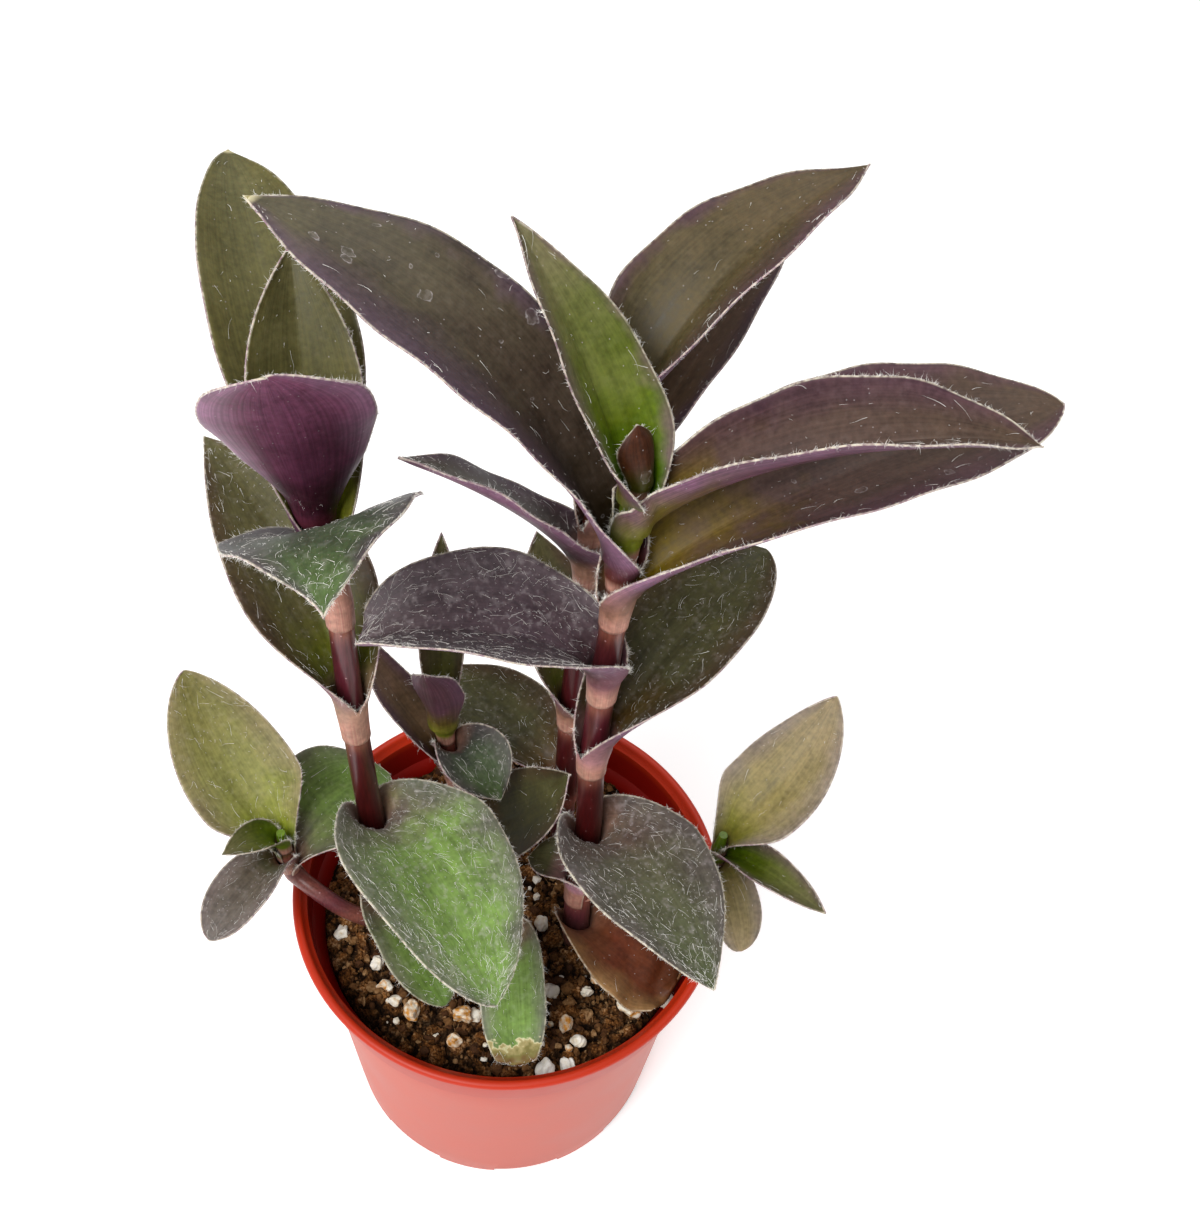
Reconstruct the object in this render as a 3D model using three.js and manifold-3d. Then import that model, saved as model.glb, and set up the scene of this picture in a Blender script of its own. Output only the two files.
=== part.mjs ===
// A tradescantia in a red plastic nursery pot: upright leafy stems whose clasping leaves are each
// one piece with the sheath that closes round the stem. Millimetres, +Z up. The origin is the
// centre of the pot's flat underside, and -Y is the front.
import * as THREE from "three";
import { mergeVertices } from "three/addons/utils/BufferGeometryUtils.js";
import Module from "manifold-3d";

const wasm = await Module();
wasm.setup();

// ---- Pot ----
const POT_SIDES = 48;
const RIM_HEIGHT = 84;
const RIM_RADIUS = 51;
const BASE_RADIUS = 40.8;
const BODY_TOP_RADIUS = 46;
const COLLAR_BOTTOM = 70;
const COLLAR_RADIUS = 49;
const COLLAR_STEP = 1.2;
const COLLAR_TAPER = 0.4;
const LIP_WIDTH = 2.2;
const LIP_HEIGHT = 2;
const LIP_ANGLES = [-60, -10, 40, 90, 140, 180];
const WALL = 1.3;
const FLOOR = 1.6;
const FOOT_BEVEL = 0.8;
const NOTCH_COUNT = 8;
const NOTCH_FIRST_ANGLE = -80;
const NOTCH_WIDTH = 17;
const NOTCH_HEIGHT = 2.2;
const NOTCH_DEPTH = 5;
const POT_FINISH = { color: "#e1604a", roughness: 0.45 };

// ---- Soil ----
const GAP = 0.3;
const LEANING_RADIUS = 46;
const SOIL_LEVEL = 73;
const SOIL_RINGS = 5;
const SOIL_RELIEF = 0.9;
const SWELL_LENGTHS = [20, 23];
const RIPPLE_LENGTHS = [14, 9];
const RIPPLE_SHARE = 0.6;
const EDGE_MARGIN = 4;
const ROOT_MARGIN = 9;
const PERLITE_COUNT = 16;
const PERLITE_RADII = [1.25, 2.2];
const PERLITE_SEED = 7;
const HOLE_CLEARANCE = 0.6;
const HOLE_DEPTH = 1;
const SOIL_FINISH = { color: "#3a2a1e", roughness: 0.95 };

// ---- Leaves and stems ----
const STEM_SIDES = 10;
const STEM_FINISH = { color: "#5a2035", roughness: 0.5 };
const LEAF_THICKNESS = 0.7;
const SHEATH_FACTOR = 1.1;
const SHEATH_CLEARANCE = 0.75;
const SHEATH_MARGIN = 1;
const LONG_SHEATH = 8;
const NECK_LENGTH = 4.5;
const NECK_SPREAD = 0.2;
const LEAF_COLUMNS = 8;
const NECK_ROWS = [0, 1.5, 3.5, 6.5];
const ROW_LENGTH = 7;
const ROUND_TIP = 0.8;
const TIP_ROW = 1.5;
const LEAF_STEPS = 240;
const POLYGON_ALLOWANCE = 1.08;
const LEAF_ROUGHNESS = 0.6;
const UPRIGHT_STEMS = ["main", "left", "back", "middle", "front"];

// Each stem is a line of points from root to tip: x, y, height and radius.
const STEMS = {
  main: [
    [16.7, -9.3, 60, 3.2], [16.1, -8, 86, 3.1], [17, -5, 117, 2.9], [16.3, -2.9, 138, 2.8],
    [17.3, 0, 168, 2.7], [18.2, 1.8, 184, 2.5], [18.4, 2.8, 192, 2.2], [18.8, 3.4, 200, 1.9],
    [19.6, 4, 208, 1.6], [20, 4.5, 214, 1.4], [19.9, 4.8, 218, 0.8],
  ],
  left: [
    [-28.2, -7.7, 60, 3], [-28.4, -6.5, 86, 2.9], [-30.7, -3.3, 118, 2.7], [-32.7, 0, 151, 2.6],
    [-33.5, 3.1, 181, 2.4], [-34.6, 4.2, 190, 2.1], [-35.6, 4.8, 198, 1.8], [-36.6, 5.2, 206, 1.5],
    [-37.3, 5.6, 211, 1],
  ],
  back: [
    [12.5, 12.5, 60, 2.8], [12.4, 13.5, 100, 2.7], [12.2, 14.8, 134, 2.5], [12.8, 16, 160, 2.4],
    [13.4, 17, 186, 2.2], [14.2, 17.4, 197, 1.9], [15.2, 17.8, 206, 1.5], [15.8, 18, 211, 1],
  ],
  middle: [
    [-9, 8, 60, 2.3], [-10.5, 11.5, 88, 2.2], [-14.5, 18.5, 106, 1.9], [-16, 21, 114, 1.7],
    [-16.5, 22, 120, 1.5], [-16.7, 22.4, 124, 1],
  ],
  front: [[1, -13, 60, 2.2], [0.5, -14, 80, 2.1], [0, -15.5, 87, 1.6]],
  leftRunner: [
    [-28.3, -6.9, 75, 2], [-33, -8, 77.5, 2], [-38, -8, 81.5, 2], [-42.5, -6.9, 85.4, 2],
    [-46.5, -4.9, 87.6, 2], [-49.6, -2.9, 88.6, 2], [-51, -2, 90.8, 2], [-51.2, -1.8, 94, 1.9],
    [-51.4, -1.6, 99, 1.6], [-51.6, -1.5, 105, 1],
  ],
  rightRunner: [
    [16.2, -7.5, 91, 2], [21.5, -7.6, 95.4, 2], [28, -6, 95.8, 2], [36, -3.6, 94, 2],
    [43, -1.4, 91, 2], [46.6, 0, 90.4, 2], [48, 0.7, 92.6, 1.9], [48.6, 1.1, 97, 1.7],
    [49, 1.4, 104, 1],
  ],
};

// Each leaf, from the lowest node of its stem to the highest. Lengths in mm, angles in degrees: node
// height, heading (from +X, seen from above), length and width; rise is the slope of the midrib at
// its start and at its tip, cup half the bend of the cross-section there. The rest have defaults.
const LEAF_DEFAULTS = {
  turn: 0, // how far the heading swings from base to tip
  widest: 0.4, // where it is widest, as a share of its length
  crease: 0.3, // share of the cup that is folded at the midrib
  roll: 0, // lean about the midrib
  blunt: 1, // 1 tapers to a point, smaller is rounder
  unroll: 6, // length over which the sheath opens into the blade
  sheath: 2, // length of the closed sheath below the node
  clasp: 180, // half the angle that the base holds round the stem: 180 is a closed sheath
  inPot: false, // the blade leans on the inside of the pot's wall
  color: "#5c6b3a",
};
const LEAVES = [
  // main stem
  { name: "main_dry_leaf", stem: "main", node: 80, heading: -38, length: 31, width: 26, turn: 6,
    inPot: true, rise: [-16, -22], cup: [24, 4], widest: 0.52, blunt: 0.8, unroll: 3.5, sheath: 3,
    color: "#8a4f2c" },
  { name: "main_leaf_1", stem: "main", node: 97, heading: 162, length: 11, width: 13, turn: 3,
    rise: [0, -30], cup: [32, 13], widest: 0.41, roll: 4, unroll: 3.5, clasp: 80,
    color: "#6b6a3c" },
  { name: "main_leaf_2", stem: "main", node: 113, heading: -59, length: 50, width: 33, turn: -1,
    rise: [43, -20], cup: [21, 17], widest: 0.37, roll: -14, sheath: 7, color: "#6f7a66" },
  { name: "main_leaf_3", stem: "main", node: 142.5, heading: 44, length: 56, width: 29, turn: 6,
    rise: [32, 6], cup: [54, 19], widest: 0.42, blunt: 0.65, sheath: 6, color: "#7a7d64" },
  { name: "main_leaf_4", stem: "main", node: 165, heading: 182, length: 50, width: 33, turn: -3,
    rise: [46, -30], cup: [26, 59], widest: 0.46, crease: 0.4, roll: 4, blunt: 0.6, sheath: 6,
    color: "#5b4350" },
  { name: "main_leaf_5", stem: "main", node: 184.5, heading: 23, length: 94, width: 38, turn: -3,
    rise: [28, -2], cup: [77, 14], widest: 0.47, roll: 3, blunt: 0.75, unroll: 4, sheath: 5,
    color: "#7d7448" },
  { name: "main_leaf_6", stem: "main", node: 192, heading: 161, length: 94, width: 29, turn: -1,
    rise: [75, 10], cup: [61, 1], widest: 0.56, crease: 0.35, roll: -2, clasp: 55,
    color: "#70505a" },
  { name: "main_leaf_7", stem: "main", node: 199.5, heading: 9, length: 77, width: 26, turn: -5,
    rise: [40, -13], cup: [94, 36], widest: 0.46, crease: 0.55, roll: 2, clasp: 80,
    color: "#806a58" },
  { name: "main_leaf_8", stem: "main", node: 206.5, heading: 135, length: 54, width: 22, turn: 2,
    rise: [70, 40], cup: [50, 35], widest: 0.27, crease: 0.5, clasp: 80, color: "#7a9a20" },
  { name: "main_bud", stem: "main", node: 213, heading: -52, length: 13, width: 9.5,
    rise: [106, 124], cup: [70, 40], widest: 0.6, crease: 0.1, unroll: 4, clasp: 60,
    color: "#4d2917" },
  // left stem
  { name: "left_leaf_1", stem: "left", node: 84, heading: -60, length: 29, width: 17,
    rise: [-6, -16], cup: [30, 8], widest: 0.42, crease: 0.35, blunt: 0.6, unroll: 3.5, sheath: 3,
    color: "#5d8a45" },
  { name: "left_leaf_2", stem: "left", node: 113.5, heading: -53, length: 56, width: 37, turn: -5,
    rise: [46, -52], cup: [31, 26], widest: 0.38, roll: -14, blunt: 0.85, sheath: 7,
    color: "#5d8a45" },
  { name: "left_leaf_3", stem: "left", node: 153.5, heading: 121, length: 59, width: 30, turn: 13,
    rise: [43, 21], cup: [45, 24], widest: 0.36, roll: -2, sheath: 10, color: "#6d7340" },
  { name: "left_leaf_4", stem: "left", node: 189.5, heading: -79, length: 60, width: 35, turn: -3,
    rise: [85, -1], cup: [2, 2], widest: 0.34, crease: 0.75, roll: 13, blunt: 1.3, sheath: 14,
    color: "#56604e" },
  { name: "left_leaf_5", stem: "left", node: 193, heading: 109, length: 82, width: 28,
    rise: [67, -4], cup: [49, 19], widest: 0.44, crease: 0.35, roll: 9, blunt: 0.9, clasp: 80,
    color: "#6f7a3a" },
  { name: "left_leaf_6", stem: "left", node: 199.5, heading: -91, length: 55, width: 28,
    rise: [81, 59], cup: [43, 10], widest: 0.61, crease: 0.15, roll: 10, blunt: 0.7, clasp: 80,
    color: "#714258" },
  { name: "left_leaf_7", stem: "left", node: 205, heading: 97, length: 43, width: 23,
    rise: [72, 49], cup: [50, 33], widest: 0.39, crease: 0.35, roll: 11, clasp: 75,
    color: "#4d6a2c" },
  // back stem
  { name: "back_leaf_1", stem: "back", node: 102, heading: 134, length: 44, width: 26,
    rise: [-6, 2], cup: [44, 18], widest: 0.43, crease: 0.35, roll: -5, clasp: 70,
    color: "#4b5230" },
  { name: "back_leaf_2", stem: "back", node: 134, heading: 109, length: 38, width: 20,
    rise: [62, 31], cup: [45, 20], sheath: 6, color: "#6a7040" },
  { name: "back_leaf_3", stem: "back", node: 177.5, heading: 195, length: 51, width: 20, turn: 3,
    rise: [57, 35], cup: [11, 33], widest: 0.44, roll: 22, sheath: 4, color: "#5e4a48" },
  { name: "back_leaf_4", stem: "back", node: 189, heading: 50, length: 65, width: 25, turn: -3,
    rise: [43, 26], cup: [55, 25], crease: 0.4, roll: -15, sheath: 4, color: "#4a3340" },
  { name: "back_leaf_5", stem: "back", node: 198, heading: 151, length: 83, width: 23, turn: -1,
    rise: [20, 8], cup: [57, 54], widest: 0.42, crease: 0.65, roll: 7, clasp: 80,
    color: "#5a5a38" },
  { name: "back_leaf_6", stem: "back", node: 205.5, heading: 41, length: 72, width: 30, turn: -5,
    rise: [65, 7], cup: [75, 14], crease: 0.45, roll: -10, clasp: 80, color: "#6d6040" },
  // middle shoot
  { name: "middle_leaf_1", stem: "middle", node: 86, heading: -20, length: 45, width: 21,
    rise: [38, 74], cup: [28, 10], roll: 36, unroll: 4, sheath: 4, color: "#5c5434" },
  { name: "middle_leaf_2", stem: "middle", node: 103.5, heading: 148, length: 43, width: 12,
    turn: -4, rise: [35, 60], cup: [41, 24], widest: 0.38, roll: -3, clasp: 90,
    color: "#453f38" },
  { name: "middle_leaf_3", stem: "middle", node: 109.5, heading: -52, length: 21, width: 19,
    turn: 1, rise: [23, -25], cup: [36, 16], widest: 0.48, clasp: 80, color: "#6e7a60" },
  { name: "middle_leaf_4", stem: "middle", node: 115, heading: -104, length: 38, width: 14,
    rise: [80, 67], cup: [54, 43], roll: 8, clasp: 70, color: "#6a4a5c" },
  { name: "middle_leaf_5", stem: "middle", node: 120.5, heading: 92, length: 42, width: 12,
    rise: [61, 57], cup: [50, 30], clasp: 70, color: "#5f6b38" },
  // left runner
  { name: "left_runner_leaf_1", stem: "leftRunner", node: 91.5, heading: 52, length: 35, width: 30,
    turn: -4, rise: [30, -40], cup: [32, 18], widest: 0.43, roll: 12, clasp: 60,
    color: "#66724a" },
  { name: "left_runner_leaf_2", stem: "leftRunner", node: 94, heading: -120, length: 27, width: 15,
    rise: [12, -12], cup: [46, 21], widest: 0.49, blunt: 0.6, clasp: 60, color: "#746a6a" },
  { name: "left_runner_leaf_3", stem: "leftRunner", node: 98, heading: 138, length: 46, width: 27,
    turn: -14, rise: [35, 46], cup: [42, 18], widest: 0.33, roll: -7, blunt: 0.7, clasp: 60,
    color: "#7d8a34" },
  { name: "left_runner_leaf_4", stem: "leftRunner", node: 101.5, heading: 224, length: 17, width: 11,
    turn: -3, rise: [40, 14], cup: [68, 42], crease: 0.1, roll: -13, clasp: 60,
    color: "#86a82a" },
  // right runner
  { name: "right_runner_leaf_1", stem: "rightRunner", node: 93, heading: -74, length: 24,
    width: 12, rise: [4, -60], cup: [25, 13], widest: 0.5, blunt: 0.5, clasp: 60,
    color: "#9a8a86" },
  { name: "right_runner_leaf_2", stem: "rightRunner", node: 96, heading: -47, length: 32,
    width: 12, turn: 2, rise: [19, 12], cup: [56, 39], roll: 5, clasp: 60, color: "#7c8a50" },
  { name: "right_runner_leaf_3", stem: "rightRunner", node: 100, heading: 22, length: 44, width: 23,
    turn: 37, rise: [40, 44], cup: [27, 12], widest: 0.32, roll: 4, blunt: 0.8, clasp: 60,
    color: "#7d7a44" },
  // front stub
  { name: "front_leaf", stem: "front", node: 83.5, heading: -86, length: 34, width: 15, turn: 2,
    inPot: true, rise: [0, -16], cup: [29, 10], widest: 0.52, blunt: 0.5, unroll: 3.5, sheath: 4,
    color: "#5d8a45" },
];

// ---- Small helpers ----
const radians = THREE.MathUtils.degToRad;

function seededRandom(seed) {
  const multiplier = 16807;
  const modulus = 2 ** 31 - 1;
  let state = seed;
  return () => {
    state = (state * multiplier) % modulus;
    return state / modulus;
  };
}

function solidFrom(geometry) {
  geometry.deleteAttribute("normal");
  geometry.deleteAttribute("uv");
  const merged = mergeVertices(geometry, 1e-4);
  const index = merged.index.array;
  const triangles = [];
  for (let i = 0; i < index.length; i += 3) {
    const [a, b, c] = index.slice(i, i + 3);
    if (a !== b && b !== c && c !== a) triangles.push(a, b, c);
  }
  return new wasm.Manifold(new wasm.Mesh({
    numProp: 3,
    vertProperties: new Float32Array(merged.attributes.position.array),
    triVerts: new Uint32Array(triangles),
  }));
}

function geometryFrom(points, triangles) {
  const geometry = new THREE.BufferGeometry();
  geometry.setAttribute("position", new THREE.Float32BufferAttribute(points, 3));
  geometry.setIndex(triangles);
  return geometry;
}

function geometryOf(solid) {
  const { vertProperties, triVerts } = solid.getMesh();
  return geometryFrom(Array.from(vertProperties), Array.from(triVerts));
}

function piece(name, geometry, finish) {
  geometry.computeVertexNormals();
  const mesh = new THREE.Mesh(geometry, new THREE.MeshStandardMaterial(finish));
  mesh.name = name;
  return mesh;
}

// A profile of (radius, height) points turned round the Z axis.
function turned(profile) {
  const points = profile.map(([radius, height]) => new THREE.Vector2(radius, height));
  return new THREE.LatheGeometry(points, POT_SIDES).rotateX(Math.PI / 2);
}

// ---- Pot ----
function wallRadius(height) {
  return THREE.MathUtils.lerp(BASE_RADIUS, BODY_TOP_RADIUS, height / COLLAR_BOTTOM) - WALL;
}

// The lip's round section, from under its outer edge over the top to its inner edge.
function lipProfile() {
  return LIP_ANGLES.map((angle) => [
    RIM_RADIUS - (LIP_WIDTH / 2) * (1 - Math.cos(radians(angle))),
    RIM_HEIGHT - (LIP_HEIGHT / 2) * (1 - Math.sin(radians(angle))),
  ]);
}

function makePot() {
  const innerCollar = COLLAR_RADIUS - WALL;
  const pot = solidFrom(turned([
    [0, 0],
    [BASE_RADIUS - FOOT_BEVEL, 0],
    [BASE_RADIUS, FOOT_BEVEL],
    [BODY_TOP_RADIUS, COLLAR_BOTTOM],
    [COLLAR_RADIUS - COLLAR_TAPER, COLLAR_BOTTOM + COLLAR_STEP],
    [COLLAR_RADIUS, RIM_HEIGHT - LIP_HEIGHT],
    ...lipProfile(),
    [innerCollar, RIM_HEIGHT - LIP_HEIGHT],
    [innerCollar - COLLAR_TAPER, COLLAR_BOTTOM + COLLAR_STEP + WALL],
    [wallRadius(COLLAR_BOTTOM), COLLAR_BOTTOM],
    [wallRadius(FLOOR), FLOOR],
    [0, FLOOR],
  ]));
  let notched = pot;
  for (let i = 0; i < NOTCH_COUNT; i += 1) {
    const notch = new THREE.BoxGeometry(2 * NOTCH_DEPTH, NOTCH_WIDTH, 2 * NOTCH_HEIGHT);
    notch.translate(BASE_RADIUS, 0, 0);
    notch.rotateZ(radians(NOTCH_FIRST_ANGLE + (i * 360) / NOTCH_COUNT));
    notched = notched.subtract(solidFrom(notch));
  }
  return piece("pot", geometryOf(notched), POT_FINISH);
}

// ---- Stems ----
// A round bar along the points, its sections square to its path and its ends closed.
function barGeometry(points, sides, growth) {
  const centres = points.map(([x, y, z]) => new THREE.Vector3(x, y, z));
  const vertices = [];
  const triangles = [];
  const side = new THREE.Vector3(1, 0, 0);
  centres.forEach((centre, i) => {
    const ahead = centres[Math.min(i + 1, centres.length - 1)];
    const behind = centres[Math.max(i - 1, 0)];
    const along = ahead.clone().sub(behind).normalize();
    side.addScaledVector(along, -side.dot(along)).normalize();
    const across = along.clone().cross(side);
    for (let k = 0; k < sides; k += 1) {
      const angle = (2 * Math.PI * k) / sides;
      const radius = points[i][3] + growth;
      const vertex = centre.clone()
        .addScaledVector(side, radius * Math.cos(angle))
        .addScaledVector(across, radius * Math.sin(angle));
      vertices.push(...vertex.toArray());
    }
  });
  for (let i = 0; i < centres.length - 1; i += 1) {
    for (let k = 0; k < sides; k += 1) {
      const next = (k + 1) % sides;
      const [a, b] = [i * sides + k, i * sides + next];
      const [c, d] = [a + sides, b + sides];
      triangles.push(a, b, d, a, d, c);
    }
  }
  const last = (centres.length - 1) * sides;
  for (let k = 1; k < sides - 1; k += 1) {
    triangles.push(0, k + 1, k);
    triangles.push(last, last + k, last + k + 1);
  }
  return geometryFrom(vertices, triangles);
}

function bar(stem, growth = 0) {
  return solidFrom(barGeometry(STEMS[stem], STEM_SIDES, growth));
}

function makeStems() {
  return [
    piece("main_stem", geometryOf(bar("main").add(bar("rightRunner"))), STEM_FINISH),
    piece("left_stem", geometryOf(bar("left").add(bar("leftRunner"))), STEM_FINISH),
    piece("back_stem", geometryOf(bar("back")), STEM_FINISH),
    piece("middle_stem", geometryOf(bar("middle")), STEM_FINISH),
    piece("front_stub", geometryOf(bar("front")), STEM_FINISH),
  ];
}

// The stem's centre and radius at a height.
function stemAt(stem, height) {
  const points = STEMS[stem];
  const below = points.findLastIndex((point) => point[2] < height);
  const [low, high] = [points[below], points[below + 1]];
  const share = (height - low[2]) / (high[2] - low[2]);
  const [x, y, z, radius] = low.map((value, i) => THREE.MathUtils.lerp(value, high[i], share));
  return { centre: new THREE.Vector3(x, y, z), radius };
}

// ---- Soil ----
// The soil's surface above its level: broad swells with shorter ripples across them.
function soilRelief(x, y) {
  const turn = 2 * Math.PI;
  const swells = Math.cos((turn * x) / SWELL_LENGTHS[0]) * Math.cos((turn * y) / SWELL_LENGTHS[1]);
  const ripples = Math.sin(turn * (y / RIPPLE_LENGTHS[1] - x / RIPPLE_LENGTHS[0]));
  return SOIL_RELIEF * (swells + RIPPLE_SHARE * ripples);
}

function makeSoil() {
  const edge = wallRadius(COLLAR_BOTTOM) - GAP;
  const profile = [[0, FLOOR + GAP], [wallRadius(FLOOR) - GAP, FLOOR + GAP], [edge, COLLAR_BOTTOM]];
  for (let ring = 0; ring < SOIL_RINGS; ring += 1) {
    profile.push([edge * (1 - ring / SOIL_RINGS), SOIL_LEVEL]);
  }
  profile.push([0, SOIL_LEVEL]);
  const body = turned(profile);
  const position = body.attributes.position;
  for (let i = 0; i < position.count; i += 1) {
    const [x, y, z] = [position.getX(i), position.getY(i), position.getZ(i)];
    const inside = Math.min(1, (edge - Math.hypot(x, y)) / EDGE_MARGIN);
    if (z > (COLLAR_BOTTOM + SOIL_LEVEL) / 2) position.setZ(i, z + soilRelief(x, y) * inside);
  }
  let soil = solidFrom(body);
  const random = seededRandom(PERLITE_SEED);
  const roots = UPRIGHT_STEMS.map((name) => STEMS[name][0]);
  for (let placed = 0; placed < PERLITE_COUNT;) {
    const distance = (edge - EDGE_MARGIN) * Math.sqrt(random());
    const angle = 2 * Math.PI * random();
    const size = THREE.MathUtils.lerp(...PERLITE_RADII, random());
    const [x, y] = [distance * Math.cos(angle), distance * Math.sin(angle)];
    if (roots.every((root) => Math.hypot(x - root[0], y - root[1]) > ROOT_MARGIN)) {
      const grain = new THREE.IcosahedronGeometry(size);
      grain.rotateZ(angle).translate(x, y, SOIL_LEVEL + soilRelief(x, y));
      soil = soil.add(solidFrom(grain));
      placed += 1;
    }
  }
  for (const name of UPRIGHT_STEMS) {
    const [x, y, z, radius] = STEMS[name][0];
    const deeper = [[x, y, z - HOLE_DEPTH, radius], ...STEMS[name].slice(1)];
    soil = soil.subtract(solidFrom(barGeometry(deeper, STEM_SIDES, HOLE_CLEARANCE)));
  }
  return piece("soil", geometryOf(soil), SOIL_FINISH);
}

// ---- Leaves ----
// Half the leaf's width at a share s of its length: from half the girth of its base out to the widest
// place, then down to the tip.
function halfWidth(leaf, girth, s) {
  const half = leaf.width / 2;
  if (s < leaf.widest) return girth + (half - girth) * THREE.MathUtils.smoothstep(s, 0, leaf.widest);
  const past = (s - leaf.widest) / (1 - leaf.widest);
  return half * (1 - past * past) ** leaf.blunt;
}

function sheathRadius(radius) {
  return SHEATH_FACTOR * radius + SHEATH_CLEARANCE;
}

// How far a blade's middle surface stays from a stem's axis at a height: clear of the stem, and of the
// sheaths and necks of the other leaves on it.
function clearance(leaf, stem, height, radius) {
  let needed = radius + LEAF_THICKNESS / 2 + GAP;
  for (const other of LEAVES) {
    const above = height - other.node;
    const sheath = other.sheath ?? LEAF_DEFAULTS.sheath;
    if (other.stem !== stem || other.name === leaf.name) continue;
    if (above > -sheath - SHEATH_MARGIN && above < NECK_LENGTH) {
      const spread = NECK_SPREAD * Math.max(0, above);
      needed = Math.max(needed, sheathRadius(radius) + LEAF_THICKNESS + GAP + spread);
    }
  }
  return needed;
}

function bentClear(point, leaf) {
  for (const stem of UPRIGHT_STEMS) {
    const points = STEMS[stem];
    if (point.z <= points[0][2] || point.z >= points[points.length - 1][2]) continue;
    const { centre, radius } = stemAt(stem, point.z);
    const outward = point.clone().sub(centre).setZ(0);
    const needed = clearance(leaf, stem, point.z, radius) * POLYGON_ALLOWANCE;
    if (outward.length() < needed) point.copy(centre).addScaledVector(outward.normalize(), needed);
  }
  const fromAxis = Math.hypot(point.x, point.y);
  if (leaf.inPot && fromAxis > LEANING_RADIUS) {
    point.x *= LEANING_RADIUS / fromAxis;
    point.y *= LEANING_RADIUS / fromAxis;
  }
  return point;
}

// The leaf's middle surface as rows of points from its node to its tip. Each row has LEAF_COLUMNS + 1
// points, from the right margin to the left as seen along the leaf.
function leafRows(leaf) {
  const { centre, radius } = stemAt(leaf.stem, leaf.node);
  const ring = sheathRadius(radius);
  const clasp = radians(leaf.clasp);
  const heading = radians(leaf.heading);
  const midrib = new THREE.Vector3(Math.cos(heading), Math.sin(heading), 0)
    .multiplyScalar(ring).add(centre);
  const bladeRows = Math.max(2, Math.round((leaf.length - NECK_ROWS.at(-1)) / ROW_LENGTH));
  const arcs = [...NECK_ROWS];
  for (let i = 1; i <= bladeRows; i += 1) {
    arcs.push(THREE.MathUtils.lerp(NECK_ROWS.at(-1), leaf.length, i / bladeRows));
  }
  if (leaf.blunt < ROUND_TIP) arcs.splice(-1, 0, leaf.length - TIP_ROW);
  const step = leaf.length / LEAF_STEPS;
  const rows = [];
  for (let i = 0; i <= LEAF_STEPS; i += 1) {
    const s = i / LEAF_STEPS;
    const arc = s * leaf.length;
    const bend = heading + radians(leaf.turn * s);
    const rise = THREE.MathUtils.lerp(leaf.rise[0], leaf.rise[1], s);
    const slope = radians(rise + (90 - leaf.rise[0]) * Math.exp(-arc / NECK_LENGTH));
    const along = new THREE.Vector3(
      Math.cos(slope) * Math.cos(bend), Math.cos(slope) * Math.sin(bend), Math.sin(slope));
    if (i > 0) midrib.addScaledVector(along, step);
    if (arc < arcs[rows.length] - step / 2) continue;
    const opened = 1 - Math.exp(-arc / leaf.unroll);
    const lean = radians(leaf.roll) * (1 - Math.exp(-arc / (2 * leaf.unroll)));
    const left = new THREE.Vector3(-Math.sin(bend), Math.cos(bend), 0).applyAxisAngle(along, lean);
    const up = along.clone().cross(left);
    const openCup = radians(THREE.MathUtils.lerp(leaf.cup[0], leaf.cup[1], s));
    const cup = THREE.MathUtils.lerp(clasp, openCup, opened);
    const crease = cup * leaf.crease * opened;
    const curve = cup - crease;
    const width = halfWidth(leaf, clasp * ring, s);
    const row = [];
    for (let j = 0; j <= LEAF_COLUMNS; j += 1) {
      const t = (2 * j) / LEAF_COLUMNS - 1;
      const angle = crease + curve * Math.abs(t);
      const sideways = (Math.sin(angle) - Math.sin(crease)) / curve;
      const upward = (Math.cos(crease) - Math.cos(angle)) / curve;
      const point = midrib.clone()
        .addScaledVector(left, Math.sign(t) * width * sideways)
        .addScaledVector(up, width * upward);
      row.push(rows.length > 0 ? bentClear(point, leaf) : point);
    }
    rows.push(row);
  }
  return rows;
}

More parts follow.
